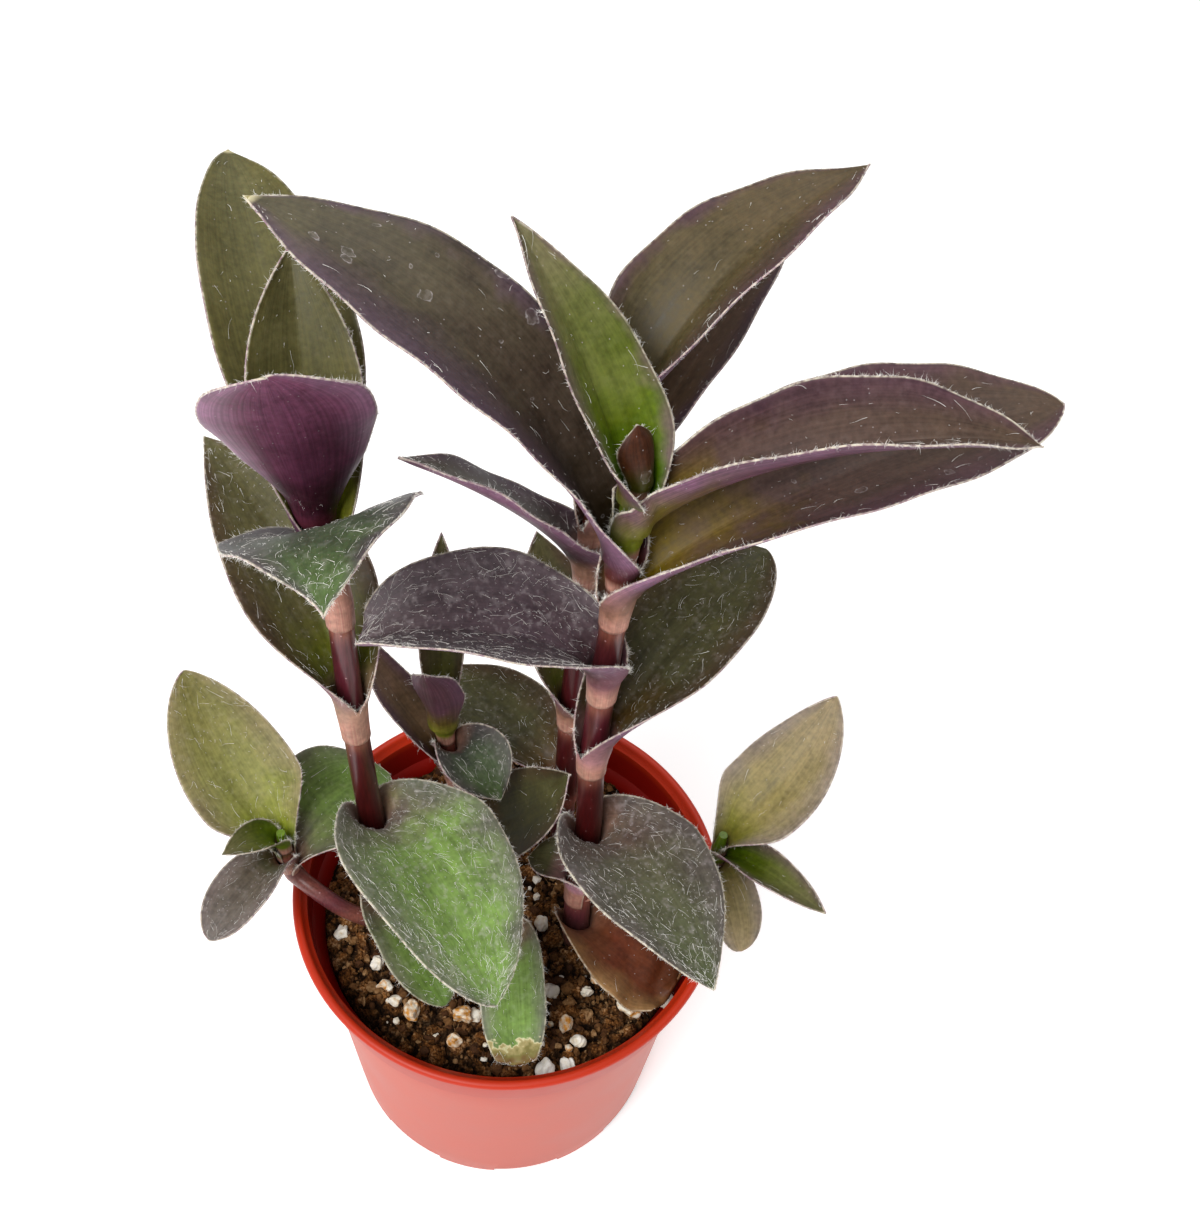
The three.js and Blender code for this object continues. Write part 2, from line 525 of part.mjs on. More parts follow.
// A closed skin of two faces half a thickness from the middle surface, both cut into the same
// triangles. A blade that clasps the whole stem runs down into a closed sheath.
function makeLeaf(values) {
  const leaf = { ...LEAF_DEFAULTS, ...values };
  const rows = leafRows(leaf);
  const last = rows.length - 1;
  const vertices = [];
  const triangles = [];
  const put = (point) => vertices.push(...point.toArray()) / 3 - 1;
  const pair = (point, up) => ({
    upper: put(point.clone().addScaledVector(up, LEAF_THICKNESS / 2)),
    lower: put(point.clone().addScaledVector(up, -LEAF_THICKNESS / 2)),
  });
  const quad = (a, b, c, d) => triangles.push(a, b, c, a, c, d);
  const bandBetween = (near, far) => {
    for (let j = 0; j < LEAF_COLUMNS; j += 1) {
      quad(near[j].upper, far[j].upper, far[j + 1].upper, near[j + 1].upper);
      triangles.push(near[j].lower, far[j + 1].lower, far[j].lower);
      triangles.push(near[j].lower, near[j + 1].lower, far[j + 1].lower);
    }
  };
  const facing = (i, j) => {
    const along = rows[Math.min(i + 1, last)][j].clone().sub(rows[Math.max(i - 1, 0)][j]);
    const row = rows[i];
    const across = row[Math.min(j + 1, LEAF_COLUMNS)].clone().sub(row[Math.max(j - 1, 0)]);
    return along.cross(across).normalize();
  };
  const blade = rows.slice(1, last)
    .map((row, i) => row.map((point, j) => pair(point, facing(i + 1, j))));
  const middle = LEAF_COLUMNS / 2;
  const tip = pair(rows[last][middle], facing(last - 1, middle));
  const closed = leaf.clasp === 180;
  const ringAt = (drop) => {
    const { centre, radius } = stemAt(leaf.stem, leaf.node - drop);
    const own = stemAt(leaf.stem, leaf.node).centre;
    const ring = rows[0].slice(0, closed ? -1 : undefined).map((point) => {
      const inward = own.clone().sub(point).setZ(0).normalize();
      return pair(centre.clone().addScaledVector(inward, -sheathRadius(radius)), inward);
    });
    return closed ? [...ring, ring[0]] : ring;
  };
  const drops = closed ? [leaf.sheath, 0] : [0];
  if (leaf.sheath > LONG_SHEATH) drops.splice(1, 0, leaf.sheath / 2);
  const rings = drops.map(ringAt);
  const bands = [...rings, ...blade];
  for (let i = 0; i < bands.length - 1; i += 1) bandBetween(bands[i], bands[i + 1]);
  const end = bands.at(-1);
  for (let j = 0; j < LEAF_COLUMNS; j += 1) {
    triangles.push(end[j].upper, tip.upper, end[j + 1].upper);
    triangles.push(end[j].lower, end[j + 1].lower, tip.lower);
    quad(bands[0][j].upper, bands[0][j + 1].upper, bands[0][j + 1].lower, bands[0][j].lower);
  }
  const margins = [rings.at(-1), ...blade, Array(LEAF_COLUMNS + 1).fill(tip)];
  for (let i = 0; i < margins.length - 1; i += 1) {
    const [near, far] = [margins[i], margins[i + 1]];
    quad(near[0].lower, far[0].lower, far[0].upper, near[0].upper);
    quad(near[LEAF_COLUMNS].lower, near[LEAF_COLUMNS].upper, far[LEAF_COLUMNS].upper,
      far[LEAF_COLUMNS].lower);
  }
  const finish = { color: leaf.color, roughness: LEAF_ROUGHNESS };
  return piece(leaf.name, geometryFrom(vertices, triangles), finish);
}

const group = new THREE.Group();
group.add(makePot(), makeSoil(), ...makeStems(), ...LEAVES.map(makeLeaf));

export default group;
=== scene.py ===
"""A tradescantia in a red nursery pot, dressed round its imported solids.

Each leaf is the fine form of its solid: the same midrib, cup and outline, drawn with many more
rows, then thinned to its margin and given its wool, veins and water marks.
"""
import math
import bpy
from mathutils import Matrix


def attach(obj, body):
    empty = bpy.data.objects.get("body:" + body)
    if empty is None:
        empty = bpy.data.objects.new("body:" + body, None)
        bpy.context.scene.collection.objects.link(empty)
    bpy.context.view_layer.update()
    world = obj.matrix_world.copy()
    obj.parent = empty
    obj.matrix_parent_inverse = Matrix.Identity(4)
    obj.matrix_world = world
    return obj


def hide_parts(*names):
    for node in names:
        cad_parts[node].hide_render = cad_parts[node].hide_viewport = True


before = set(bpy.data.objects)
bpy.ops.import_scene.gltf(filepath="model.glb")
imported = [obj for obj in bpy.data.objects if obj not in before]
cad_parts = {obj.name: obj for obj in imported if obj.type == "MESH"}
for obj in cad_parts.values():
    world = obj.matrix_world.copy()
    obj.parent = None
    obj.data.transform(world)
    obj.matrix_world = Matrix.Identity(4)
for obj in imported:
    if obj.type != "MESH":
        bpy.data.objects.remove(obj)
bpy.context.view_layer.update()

from types import SimpleNamespace

import bpy
import numpy as np
from bpy.props import FloatProperty, FloatVectorProperty, IntProperty, PointerProperty
from bpy.props import StringProperty
from mathutils import Matrix, Vector

bl_info = {
    "name": "Potted tradescantia",
    "version": (1, 0, 0),
    "blender": (4, 5, 0),
    "location": "3D View > Sidebar > Tradescantia",
    "description": "Leaves, stems, soil and pot of a potted tradescantia",
    "category": "Add Mesh",
}

MM = 0.001

# ---- Pot, in mm, as its solid ----
RIM_HEIGHT = 84
RIM_RADIUS = 51
BASE_RADIUS = 40.8
BODY_TOP_RADIUS = 46
COLLAR_BOTTOM = 70
COLLAR_RADIUS = 49
COLLAR_STEP = 1.2
COLLAR_TAPER = 0.4
LIP_WIDTH = 2.2
LIP_HEIGHT = 2
WALL = 1.3
FLOOR = 1.6
NOTCH_COUNT = 8
NOTCH_FIRST_ANGLE = -80
NOTCH_WIDTH = 17
NOTCH_HEIGHT = 2.2
NOTCH_DEPTH = 5
FOOT_EDGE = [(-0.8, 0), (-0.25, 0.2), (0, 0.8)]  # its rounding: beside the base, and height
WALL_RING_STEP = 8
LIP_STEPS = 8
LIP_SWEEP = (-70, 180)  # degrees round the lip's section
POT_SHARP_ANGLE = 42

# ---- Soil, in mm ----
GAP = 0.3
LEANING_RADIUS = 46
SOIL_LEVEL = 73
SOIL_RELIEF = 0.9
SWELL_LENGTHS = (20, 23)
RIPPLE_LENGTHS = (14, 9)
RIPPLE_SHARE = 0.6
EDGE_MARGIN = 4
SOIL_CELLS = 250  # across, each about a third of a millimetre
LUMPS = [("lumps", 4.2, 4.6), ("grit", 1.4, 1.8)]  # size and rise
SOIL_SHARP_ANGLE = 60
TOPSOIL_SEED = 11
CRUMB_RADII = (0.3, 1.35)  # the smallest, and how much more the largest
CRUMB_LIFT = 0.2  # how far a loose piece's middle stands above the soil, in its radii
GRAIN_LIFT = 0.55
SMALL_GRAIN_RADII = (0.4, 1.25)
BUMPS = 6  # flats knocked on a grain, and waves that make its knobs
FIBRE_POINTS = 7
FIBRE_STEPS = (0.3, 1)
FIBRE_WIDTHS = (0.15, 0.35)
FIBRE_LIFT = 0.25

# ---- Leaves and stems, in mm and degrees, as their solids; only the sheaths lie closer ----
LEAF_THICKNESS = 0.7
MARGIN_SHARE = 0.4  # thickness at the margins and in the sheath, as a share of the blade's
SHEATH_FACTOR = 1.1
SHEATH_CLEARANCE = 0.45
NECK_LENGTH = 4.5
NECK_SPREAD = 0.2
LEAF_STEPS = 240
POLYGON_ALLOWANCE = 1.08
LEAST_ROWS = 24
ROW_CROWDING = 1.3  # how much closer a blade's rows stand towards its tip
WAVE_HEIGHT = 0.35
WAVE_START = (8, 20)
WAVE_LENGTHS = (2.6, 3.1)  # on the left and right margin
CRUMPLE_LENGTHS = (2.4, 3.7, 1.3)
SHEATH_ROW = 0.7
SLIM_SHEATH = (1.05, 0.1)  # at its foot: its radius in the stem's radii, and what is added
MERGE_DISTANCE = 0.02
THIN_MARGIN = 2.5
THICKENING = (-1, 6)  # where the wall of the sheath grows into the blade's, from the node
NO_MARGIN = 9  # margin distance kept on a closed sheath
STEM_TOP = 225
STEM_ROW = 0.8
EASINGS = 6
NODE_SWELL = 0.12
NODE_HEIGHT = 0.9
PALE_HEIGHT = 2.5
PALE_SHARE = 0.7
GREEN_END = (9, 3)  # where the young end starts to turn green, and is green
HAIR_SKEW = (0.31, 0.52, 0.79)  # a direction that no hair takes
HAIR_END = 0.35  # share of its width that a hair keeps
MOUTH_HAIRS = 16
MOUTH_SPREAD = 2.5
COBWEB_START = 4
COBWEB_REACH = (0.35, 4.4)  # the shortest hair, and how much more the longest
UPRIGHT_STEMS = ["main", "left", "back", "middle", "front"]
STEM_PIECES = {
    "main_stem": ["main", "rightRunner"],
    "left_stem": ["left", "leftRunner"],
    "back_stem": ["back"],
    "middle_stem": ["middle"],
    "front_stub": ["front"],
}

# ---- Stage, in metres ----
SOFT_BOXES = {"key": ((-0.35, -0.5, 0.85), 0.5), "top": ((0.15, 0.3, 1), 0.7)}
LIGHT_AIM = (0, 0, 0.12)
FLOOR_SIZE = 6

# Each stem is a line of points from root to tip: x, y, height and radius.
STEMS = {
    "main": [
        (16.7, -9.3, 60, 3.2), (16.1, -8, 86, 3.1), (17, -5, 117, 2.9), (16.3, -2.9, 138, 2.8),
        (17.3, 0, 168, 2.7), (18.2, 1.8, 184, 2.5), (18.4, 2.8, 192, 2.2), (18.8, 3.4, 200, 1.9),
        (19.6, 4, 208, 1.6), (20, 4.5, 214, 1.4), (19.9, 4.8, 218, 0.8),
    ],
    "left": [
        (-28.2, -7.7, 60, 3), (-28.4, -6.5, 86, 2.9), (-30.7, -3.3, 118, 2.7),
        (-32.7, 0, 151, 2.6), (-33.5, 3.1, 181, 2.4), (-34.6, 4.2, 190, 2.1),
        (-35.6, 4.8, 198, 1.8), (-36.6, 5.2, 206, 1.5), (-37.3, 5.6, 211, 1),
    ],
    "back": [
        (12.5, 12.5, 60, 2.8), (12.4, 13.5, 100, 2.7), (12.2, 14.8, 134, 2.5),
        (12.8, 16, 160, 2.4), (13.4, 17, 186, 2.2), (14.2, 17.4, 197, 1.9),
        (15.2, 17.8, 206, 1.5), (15.8, 18, 211, 1),
    ],
    "middle": [
        (-9, 8, 60, 2.3), (-10.5, 11.5, 88, 2.2), (-14.5, 18.5, 106, 1.9), (-16, 21, 114, 1.7),
        (-16.5, 22, 120, 1.5), (-16.7, 22.4, 124, 1),
    ],
    "front": [(1, -13, 60, 2.2), (0.5, -14, 80, 2.1), (0, -15.5, 87, 1.6)],
    "leftRunner": [
        (-28.3, -6.9, 75, 2), (-33, -8, 77.5, 2), (-38, -8, 81.5, 2), (-42.5, -6.9, 85.4, 2),
        (-46.5, -4.9, 87.6, 2), (-49.6, -2.9, 88.6, 2), (-51, -2, 90.8, 2),
        (-51.2, -1.8, 94, 1.9), (-51.4, -1.6, 99, 1.6), (-51.6, -1.5, 105, 1),
    ],
    "rightRunner": [
        (16.2, -7.5, 91, 2), (21.5, -7.6, 95.4, 2), (28, -6, 95.8, 2), (36, -3.6, 94, 2),
        (43, -1.4, 91, 2), (46.6, 0, 90.4, 2), (48, 0.7, 92.6, 1.9), (48.6, 1.1, 97, 1.7),
        (49, 1.4, 104, 1),
    ],
}

# Finishes of a leaf's face: its colour near the sheath, half-way, at the tip, and on its flanks.
TONES = {
    "plum": ("#251a05", "#42362c", "#4c4634", "#4e3c48"),
    "umber": ("#4a3616", "#584430", "#584438", "#4c3642"),
    "bronze": ("#362c14", "#4c4228", "#4e402a", "#4e363c"),
    "ochre": ("#74600a", "#54403a", "#4c3c30", "#523840"),
    "olive": ("#5c6210", "#4e4a2a", "#545030", "#4c3a2a"),
    "reed": ("#98a024", "#545028", "#565232", "#56502a"),
    "moss": ("#57660a", "#50522f", "#5c5a38", "#48402a"),
    "forest": ("#4a3410", "#3f3d24", "#484626", "#403020"),
    "dusk": ("#4e3c40", "#504248", "#524648", "#5c5054"),
    "fern": ("#3a3034", "#3e4636", "#4a5c34", "#4a4244"),
    "slate": ("#655048", "#56523f", "#4e5438", "#58504c"),
    "fennel": ("#6c6054", "#5b6f34", "#5f7a36", "#64664f"),
    "sage": ("#6c6054", "#6e8844", "#749248", "#6a6c5a"),
    "lime": ("#446200", "#505e08", "#645e40", "#60504a"),
    "khaki": ("#86901e", "#84844a", "#706a3a", "#867a58"),
    "tan": ("#7c7c24", "#84784a", "#8c7c5c", "#84766a"),
    "mauve": ("#50562a", "#62584a", "#68605a", "#706460"),
    "magenta": ("#2c0c0a", "#5e2c44", "#72405a", "#8e6680"),
    "rose": ("#6a5a20", "#5e3c48", "#64404e", "#6e4a60"),
    "bud": ("#2e2503", "#402210", "#43200f", "#3c1e0b"),
    "dry": ("#74442a", "#5e2c18", "#4c260e", "#8c6a42"),
}

# Each leaf, from the lowest node of its stem to the highest. Its form, in mm and degrees:
#   node, heading   height of its node, and the way it points, counted from +X
#   length, width   of the blade, which is widest at the share "widest" of its length
#   turn, rise      turn of the midrib on its way to the tip, and its slope at base and tip
#   cup, crease     half the bend of the cross-section at base and tip, and the share of it that
#                   is a sharp fold at the midrib
#   roll, blunt     lean about the midrib, and how the outline closes: below 1 blunt, above sharp
#   unroll          length over which the sheath opens into the blade
#   sheath, fold    depth of the sheath below the node, and the depth drawn here where it differs
#   hold            half the angle that the base holds round the stem
#   in_pot          whether it lies on the soil, inside the collar
#   crumple         height of its dry folds
# Its looks: "upper" and "under" name a finish, "flanks" how far the flank's colour reaches in from
# the left and right margin (shares of the half width), "wool" and "fringe" how woolly its face and
# margins are, "marks" its water marks (all 0 to 1), "dead" the share of its tip that has died back,
# "mouth" the colour where the sheath opens, and "slot" its material slot.
LEAF_DEFAULTS = {
    "turn": 0, "widest": 0.4, "crease": 0.3, "roll": 0, "blunt": 1, "unroll": 6, "sheath": 2,
    "fold": 0, "hold": 180, "in_pot": False, "under": "magenta",
    "flanks": (0.4, 0.4), "wool": 0.06, "fringe": 0.5, "marks": 0.3, "dead": 0, "crumple": 0,
    "mouth": "#8c6450", "slot": "olive_leaf",
}
LEAVES = [
    # main stem
    dict(name="main_dry_leaf", stem="main", node=80, heading=-38, length=31, width=26, turn=6,
         rise=(-16, -22), cup=(24, 4), widest=0.52, blunt=0.8, unroll=3.5, sheath=3, in_pot=True,
         upper="dry", under="dry", wool=0.05, fringe=0.3, marks=0, crumple=1.6, slot="dry_leaf"),
    dict(name="main_leaf_1", stem="main", node=97, heading=162, length=11, width=13, turn=3,
         rise=(0, -30), cup=(32, 13), widest=0.41, roll=4, unroll=3.5, hold=120, upper="moss",
         fold=7, mouth="#c08a98"),
    dict(name="main_leaf_2", stem="main", node=113, heading=-59, length=50, width=33, turn=-1,
         rise=(43, -20), cup=(21, 17), widest=0.37, roll=-14, sheath=7, upper="slate",
         under="mauve", wool=0.8, fringe=0.8),
    dict(name="main_leaf_3", stem="main", node=142.5, heading=44, length=56, width=29, turn=6,
         rise=(32, 6), cup=(54, 19), widest=0.42, blunt=0.65, sheath=6, upper="forest", wool=0.35,
         mouth="#a87878"),
    dict(name="main_leaf_4", stem="main", node=165, heading=182, length=50, width=33, turn=-3,
         rise=(46, -30), cup=(26, 59), widest=0.46, crease=0.4, roll=4, blunt=0.6, sheath=6,
         upper="dusk", flanks=(0.6, 0.6), wool=0.9, fringe=1, slot="purple_leaf", mouth="#6e444a"),
    dict(name="main_leaf_5", stem="main", node=184.5, heading=23, length=94, width=38, turn=-3,
         rise=(28, -2), cup=(77, 14), widest=0.47, roll=3, blunt=0.75, unroll=4, sheath=5,
         upper="ochre", flanks=(0.2, 0.4), fringe=0.8, marks=0.8),
    dict(name="main_leaf_6", stem="main", node=192, heading=161, length=94, width=29, turn=-1,
         rise=(75, 10), cup=(61, 1), widest=0.56, crease=0.35, roll=-2, fold=3, upper="plum",
         flanks=(0.7, 0.1), fringe=0.6, marks=1, dead=0.012, slot="purple_leaf", mouth="#5a2614"),
    dict(name="main_leaf_7", stem="main", node=199.5, heading=9, length=77, width=26, turn=-5,
         rise=(40, -13), cup=(94, 36), widest=0.46, crease=0.55, roll=2, fold=7, upper="ochre",
         under="rose", fringe=0.9, slot="purple_leaf", mouth="#6e7a10"),
    dict(name="main_leaf_8", stem="main", node=206.5, heading=135, length=54, width=22, turn=2,
         rise=(70, 40), cup=(50, 35), widest=0.27, crease=0.5, fold=7, upper="lime", under="rose",
         flanks=(0.5, 0.1), marks=0, slot="green_leaf", mouth="#5a7a08"),
    dict(name="main_bud", stem="main", node=213, heading=-52, length=13, width=9.5,
         rise=(106, 124), cup=(70, 40), widest=0.6, crease=0.1, unroll=4, fold=3, hold=100,
         upper="bud", under="bud", flanks=(0, 0), marks=1, slot="purple_leaf", mouth="#3a3a08"),
    # left stem
    dict(name="left_leaf_1", stem="left", node=84, heading=-60, length=29, width=17,
         rise=(-6, -16), cup=(30, 8), widest=0.42, crease=0.35, blunt=0.6, unroll=3.5, sheath=3,
         upper="fennel", under="sage", wool=0.4, slot="green_leaf"),
    dict(name="left_leaf_2", stem="left", node=113.5, heading=-53, length=56, width=37, turn=-5,
         rise=(46, -52), cup=(31, 26), widest=0.38, roll=-14, blunt=0.85, sheath=7, upper="sage",
         under="mauve", flanks=(0.3, 0.5), wool=1, fringe=0.8, marks=0.1, slot="green_leaf"),
    dict(name="left_leaf_3", stem="left", node=153.5, heading=121, length=59, width=30, turn=13,
         rise=(43, 21), cup=(45, 24), widest=0.36, roll=-2, sheath=10, upper="olive", wool=0.25,
         mouth="#a88470"),
    dict(name="left_leaf_4", stem="left", node=189.5, heading=-79, length=60, width=35, turn=-3,
         rise=(85, -1), cup=(2, 2), widest=0.34, crease=0.75, roll=13, blunt=1.3, sheath=14,
         upper="fern", flanks=(0.3, 0.3), wool=0.45, fringe=0.8),
    dict(name="left_leaf_5", stem="left", node=193, heading=109, length=82, width=28,
         rise=(67, -4), cup=(49, 19), widest=0.44, crease=0.35, roll=9, blunt=0.9, fold=5,
         upper="reed", wool=0.04, fringe=0.3, dead=0.01, mouth="#7c8420"),
    dict(name="left_leaf_6", stem="left", node=199.5, heading=-91, length=55, width=28,
         rise=(81, 59), cup=(43, 10), widest=0.61, crease=0.15, roll=10, blunt=0.7, fold=7,
         upper="olive", flanks=(0.3, 0.3), fringe=0.8, slot="purple_leaf", mouth="#6a2c3c"),
    dict(name="left_leaf_7", stem="left", node=205, heading=97, length=43, width=23, rise=(72, 49),
         cup=(50, 33), widest=0.39, crease=0.35, roll=11, fold=6, upper="reed", flanks=(0.2, 0.2),
         fringe=0.6, marks=0, slot="green_leaf", mouth="#7c8420"),
    # back stem
    dict(name="back_leaf_1", stem="back", node=102, heading=134, length=44, width=26, rise=(-6, 2),
         cup=(44, 18), widest=0.43, crease=0.35, roll=-5, fold=3, hold=120, upper="forest",
         wool=0.3),
    dict(name="back_leaf_2", stem="back", node=134, heading=109, length=38, width=20,
         rise=(62, 31), cup=(45, 20), sheath=6, upper="olive"),
    dict(name="back_leaf_3", stem="back", node=177.5, heading=195, length=51, width=20, turn=3,
         rise=(57, 35), cup=(11, 33), widest=0.44, roll=22, sheath=4, upper="plum", wool=0.5,
         slot="purple_leaf"),
    dict(name="back_leaf_4", stem="back", node=189, heading=50, length=65, width=25, turn=-3,
         rise=(43, 26), cup=(55, 25), crease=0.4, roll=-15, sheath=4, upper="umber",
         slot="purple_leaf"),
    dict(name="back_leaf_5", stem="back", node=198, heading=151, length=83, width=23, turn=-1,
         rise=(20, 8), cup=(57, 54), widest=0.42, crease=0.65, roll=7, fold=5, upper="olive"),
    dict(name="back_leaf_6", stem="back", node=205.5, heading=41, length=72, width=30, turn=-5,
         rise=(65, 7), cup=(75, 14), crease=0.45, roll=-10, fold=6, upper="bronze",
         flanks=(0.05, 0.7), wool=0.05, marks=0.4),
    # middle shoot
    dict(name="middle_leaf_1", stem="middle", node=86, heading=-20, length=45, width=21,
         rise=(38, 74), cup=(28, 10), roll=36, unroll=4, sheath=4, upper="forest"),
    dict(name="middle_leaf_2", stem="middle", node=103.5, heading=148, length=43, width=12,
         turn=-4, rise=(35, 60), cup=(41, 24), widest=0.38, roll=-3, fold=3, hold=120,
         upper="umber"),
    dict(name="middle_leaf_3", stem="middle", node=109.5, heading=-52, length=21, width=19, turn=1,
         rise=(23, -25), cup=(36, 16), widest=0.48, fold=3, hold=140, upper="fern", wool=0.5),
    dict(name="middle_leaf_4", stem="middle", node=115, heading=-104, length=38, width=14,
         rise=(80, 67), cup=(54, 43), roll=8, fold=3, hold=140, upper="olive", under="rose",
         slot="purple_leaf", mouth="#7c8420"),
    dict(name="middle_leaf_5", stem="middle", node=120.5, heading=92, length=42, width=12,
         rise=(61, 57), cup=(50, 30), fold=3, hold=140, upper="olive", mouth="#7c8420"),
    # left runner
    dict(name="left_runner_leaf_1", stem="leftRunner", node=91.5, heading=52, length=35, width=30,
         turn=-4, rise=(30, -40), cup=(32, 18), widest=0.43, roll=12, fold=3, hold=120,
         upper="fennel", wool=0.2),
    dict(name="left_runner_leaf_2", stem="leftRunner", node=94, heading=-120, length=27, width=15,
         rise=(12, -12), cup=(46, 21), widest=0.49, blunt=0.6, fold=3, hold=120, upper="mauve",
         wool=0.5),
    dict(name="left_runner_leaf_3", stem="leftRunner", node=98, heading=138, length=46, width=27,
         turn=-14, rise=(35, 46), cup=(42, 18), widest=0.33, roll=-7, blunt=0.7, fold=3, hold=120,
         upper="khaki", wool=0.25, slot="green_leaf", mouth="#6a8010"),
    dict(name="left_runner_leaf_4", stem="leftRunner", node=101.5, heading=224, length=17,
         width=11, turn=-3, rise=(40, 14), cup=(68, 42), crease=0.1, roll=-13, fold=3, hold=120,
         upper="lime", under="lime", flanks=(0, 0), slot="green_leaf", mouth="#6a8010"),
    # right runner
    dict(name="right_runner_leaf_1", stem="rightRunner", node=93, heading=-74, length=24, width=12,
         rise=(4, -60), cup=(25, 13), widest=0.5, blunt=0.5, fold=3, hold=120, upper="tan"),
    dict(name="right_runner_leaf_2", stem="rightRunner", node=96, heading=-47, length=32, width=12,
         turn=2, rise=(19, 12), cup=(56, 39), roll=5, fold=3, hold=120, upper="lime",
         mouth="#6a8010"),
    dict(name="right_runner_leaf_3", stem="rightRunner", node=100, heading=22, length=44, width=23,
         turn=37, rise=(40, 44), cup=(27, 12), widest=0.32, roll=4, blunt=0.8, fold=3, hold=120,
         upper="tan", mouth="#8a8040"),
    # front stub
    dict(name="front_leaf", stem="front", node=83.5, heading=-86, length=34, width=15, turn=2,
         rise=(0, -16), cup=(29, 10), widest=0.52, blunt=0.5, unroll=3.5, sheath=4, in_pot=True,
         upper="sage", under="sage", wool=0.3, dead=0.22, crumple=0.35, slot="green_leaf"),
]
LEAVES = [{**LEAF_DEFAULTS, **leaf} for leaf in LEAVES]


def linear(value):
    """A colour written as sRGB hex, as the linear red, green, blue and alpha that Blender uses."""
    parts = [int(value[i:i + 2], 16) / 255 for i in (1, 3, 5)]
    return [c / 12.92 if c <= 0.04045 else ((c + 0.055) / 1.055) ** 2.4 for c in parts] + [1]


# ---- What a user may change ----
class PotLook(bpy.types.PropertyGroup):
    """Finish of the nursery pot."""

    sides: IntProperty(name="Sides", description="Facets round the pot", default=144, min=24)
    lip_colour: FloatVectorProperty(
        name="Lip", description="Colour of the rim, where the plastic is thick and clean",
        size=4, subtype="COLOR", default=linear("#bb2c0a"))
    # painted sheen: the outer wall's colour is paler than the clean plastic's
    wall_colour: FloatVectorProperty(
        name="Wall", description="Colour of the thin outer wall, chalky from handling",
        size=4, subtype="COLOR", default=linear("#b04a37"))
    # painted shade: the inner wall's colour is a darker red than the lip's
    inside_colour: FloatVectorProperty(
        name="Inside", description="Colour of the shaded inner wall",
        size=4, subtype="COLOR", default=linear("#9c1004"))


class SoilLook(bpy.types.PropertyGroup):
    """Make-up of the potting soil."""

    crumbs: IntProperty(name="Crumbs", description="Loose crumbs of peat on the soil", default=2450)
    grains: IntProperty(name="Small grains", description="Small perlite grains", default=110)
    fibres: IntProperty(name="Fibres", description="Root and coir fibres on the soil", default=90)


class LeafLook(bpy.types.PropertyGroup):
    """Fineness and wool of the leaves."""

    columns: IntProperty(name="Columns", description="Faces across a blade", default=28, min=8)
    row_step: FloatProperty(
        name="Row step", description="Length of a face along a blade, in mm", default=0.9)
    hair_length: FloatProperty(
        name="Hair length", description="Length of the longest hairs on the margin",
        default=1.5 * MM, unit="LENGTH")
    hair_width: FloatProperty(
        name="Hair width", description="Width of a hair at its root", default=0.075 * MM,
        unit="LENGTH")
    hair_density: FloatProperty(
        name="Hair density", description="Hairs on each mm of a woolly margin", default=17)
    cobweb_density: FloatProperty(
        name="Cobweb density", description="Hairs on each square mm of a woolly face",
        default=0.62)
    wool_colour: FloatVectorProperty(
        name="Wool", description="Colour of the hairs", size=4, subtype="COLOR",
        default=linear("#ffffff"))


class StageLook(bpy.types.PropertyGroup):
    """Camera, floor and light."""

    floor_colour: FloatVectorProperty(
        name="Floor", description="Colour of the plain floor", size=4, subtype="COLOR",
        default=linear("#ffffff"))
    camera_place: FloatVectorProperty(
        name="Camera", description="Where the camera stands", size=3, subtype="TRANSLATION",
        default=(0, -0.1664, 0.3819))
    camera_angles: FloatVectorProperty(
        name="Angles", description="Camera's turn from straight ahead, its tilt down and its roll",
        size=3, subtype="EULER", default=[math.radians(a) for a in (-5.2, 49.9, 5.9)])
    lens: FloatProperty(name="Lens", description="Focal length in mm", default=41.04)
    key_power: FloatProperty(
        name="Key", description="Power of the soft box over the left front", default=8.5)
    top_power: FloatProperty(name="Top", description="Power of the light overhead", default=3.5)
    sky: FloatProperty(name="Sky", description="Strength of the even white surroundings",
                       default=0.42)


# ---- Small helpers ----
def deselect():
    bpy.ops.object.select_all(action="DESELECT")


def apply_modifier(piece, kind, **settings):
    """Adds a modifier to the piece, sets it and applies it."""
    bpy.context.view_layer.objects.active = piece
    modifier = piece.modifiers.new(kind.title(), kind)
    for name, value in settings.items():
        setattr(modifier, name, value)
    bpy.ops.object.modifier_apply(modifier=modifier.name)


def place(piece, slot, *replaced):
    """Puts the piece on the plant's body, in place of its solids; the slot is not used."""
    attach(piece, "root")
    if replaced:
        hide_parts(*replaced)


def shells(name, points, faces):
    """A mesh object from points in mm, given as an array, and lists of their indices."""
    mesh = bpy.data.meshes.new(name)
    mesh.from_pydata((np.asarray(points) * MM).tolist(), [], faces)
    piece = bpy.data.objects.new(name, mesh)
    bpy.context.scene.collection.objects.link(piece)
    return piece


def store(piece, name, domain, values):
    """Keeps a number for each point or face of the piece, for its material to read."""
    attribute = piece.data.attributes.new(name, "FLOAT", domain)
    attribute.data.foreach_set("value", np.asarray(values, np.float32))


def smoothstep(value, low, high):
    """Goes from 0 to 1 between two values, flat at both ends."""
    share = np.clip((value - low) / (high - low), 0, 1)
    return share * share * (3 - 2 * share)


def unit(vectors):
    """The vectors at a length of 1."""
    return vectors / np.maximum(np.linalg.norm(vectors, axis=-1, keepdims=True), 1e-9)


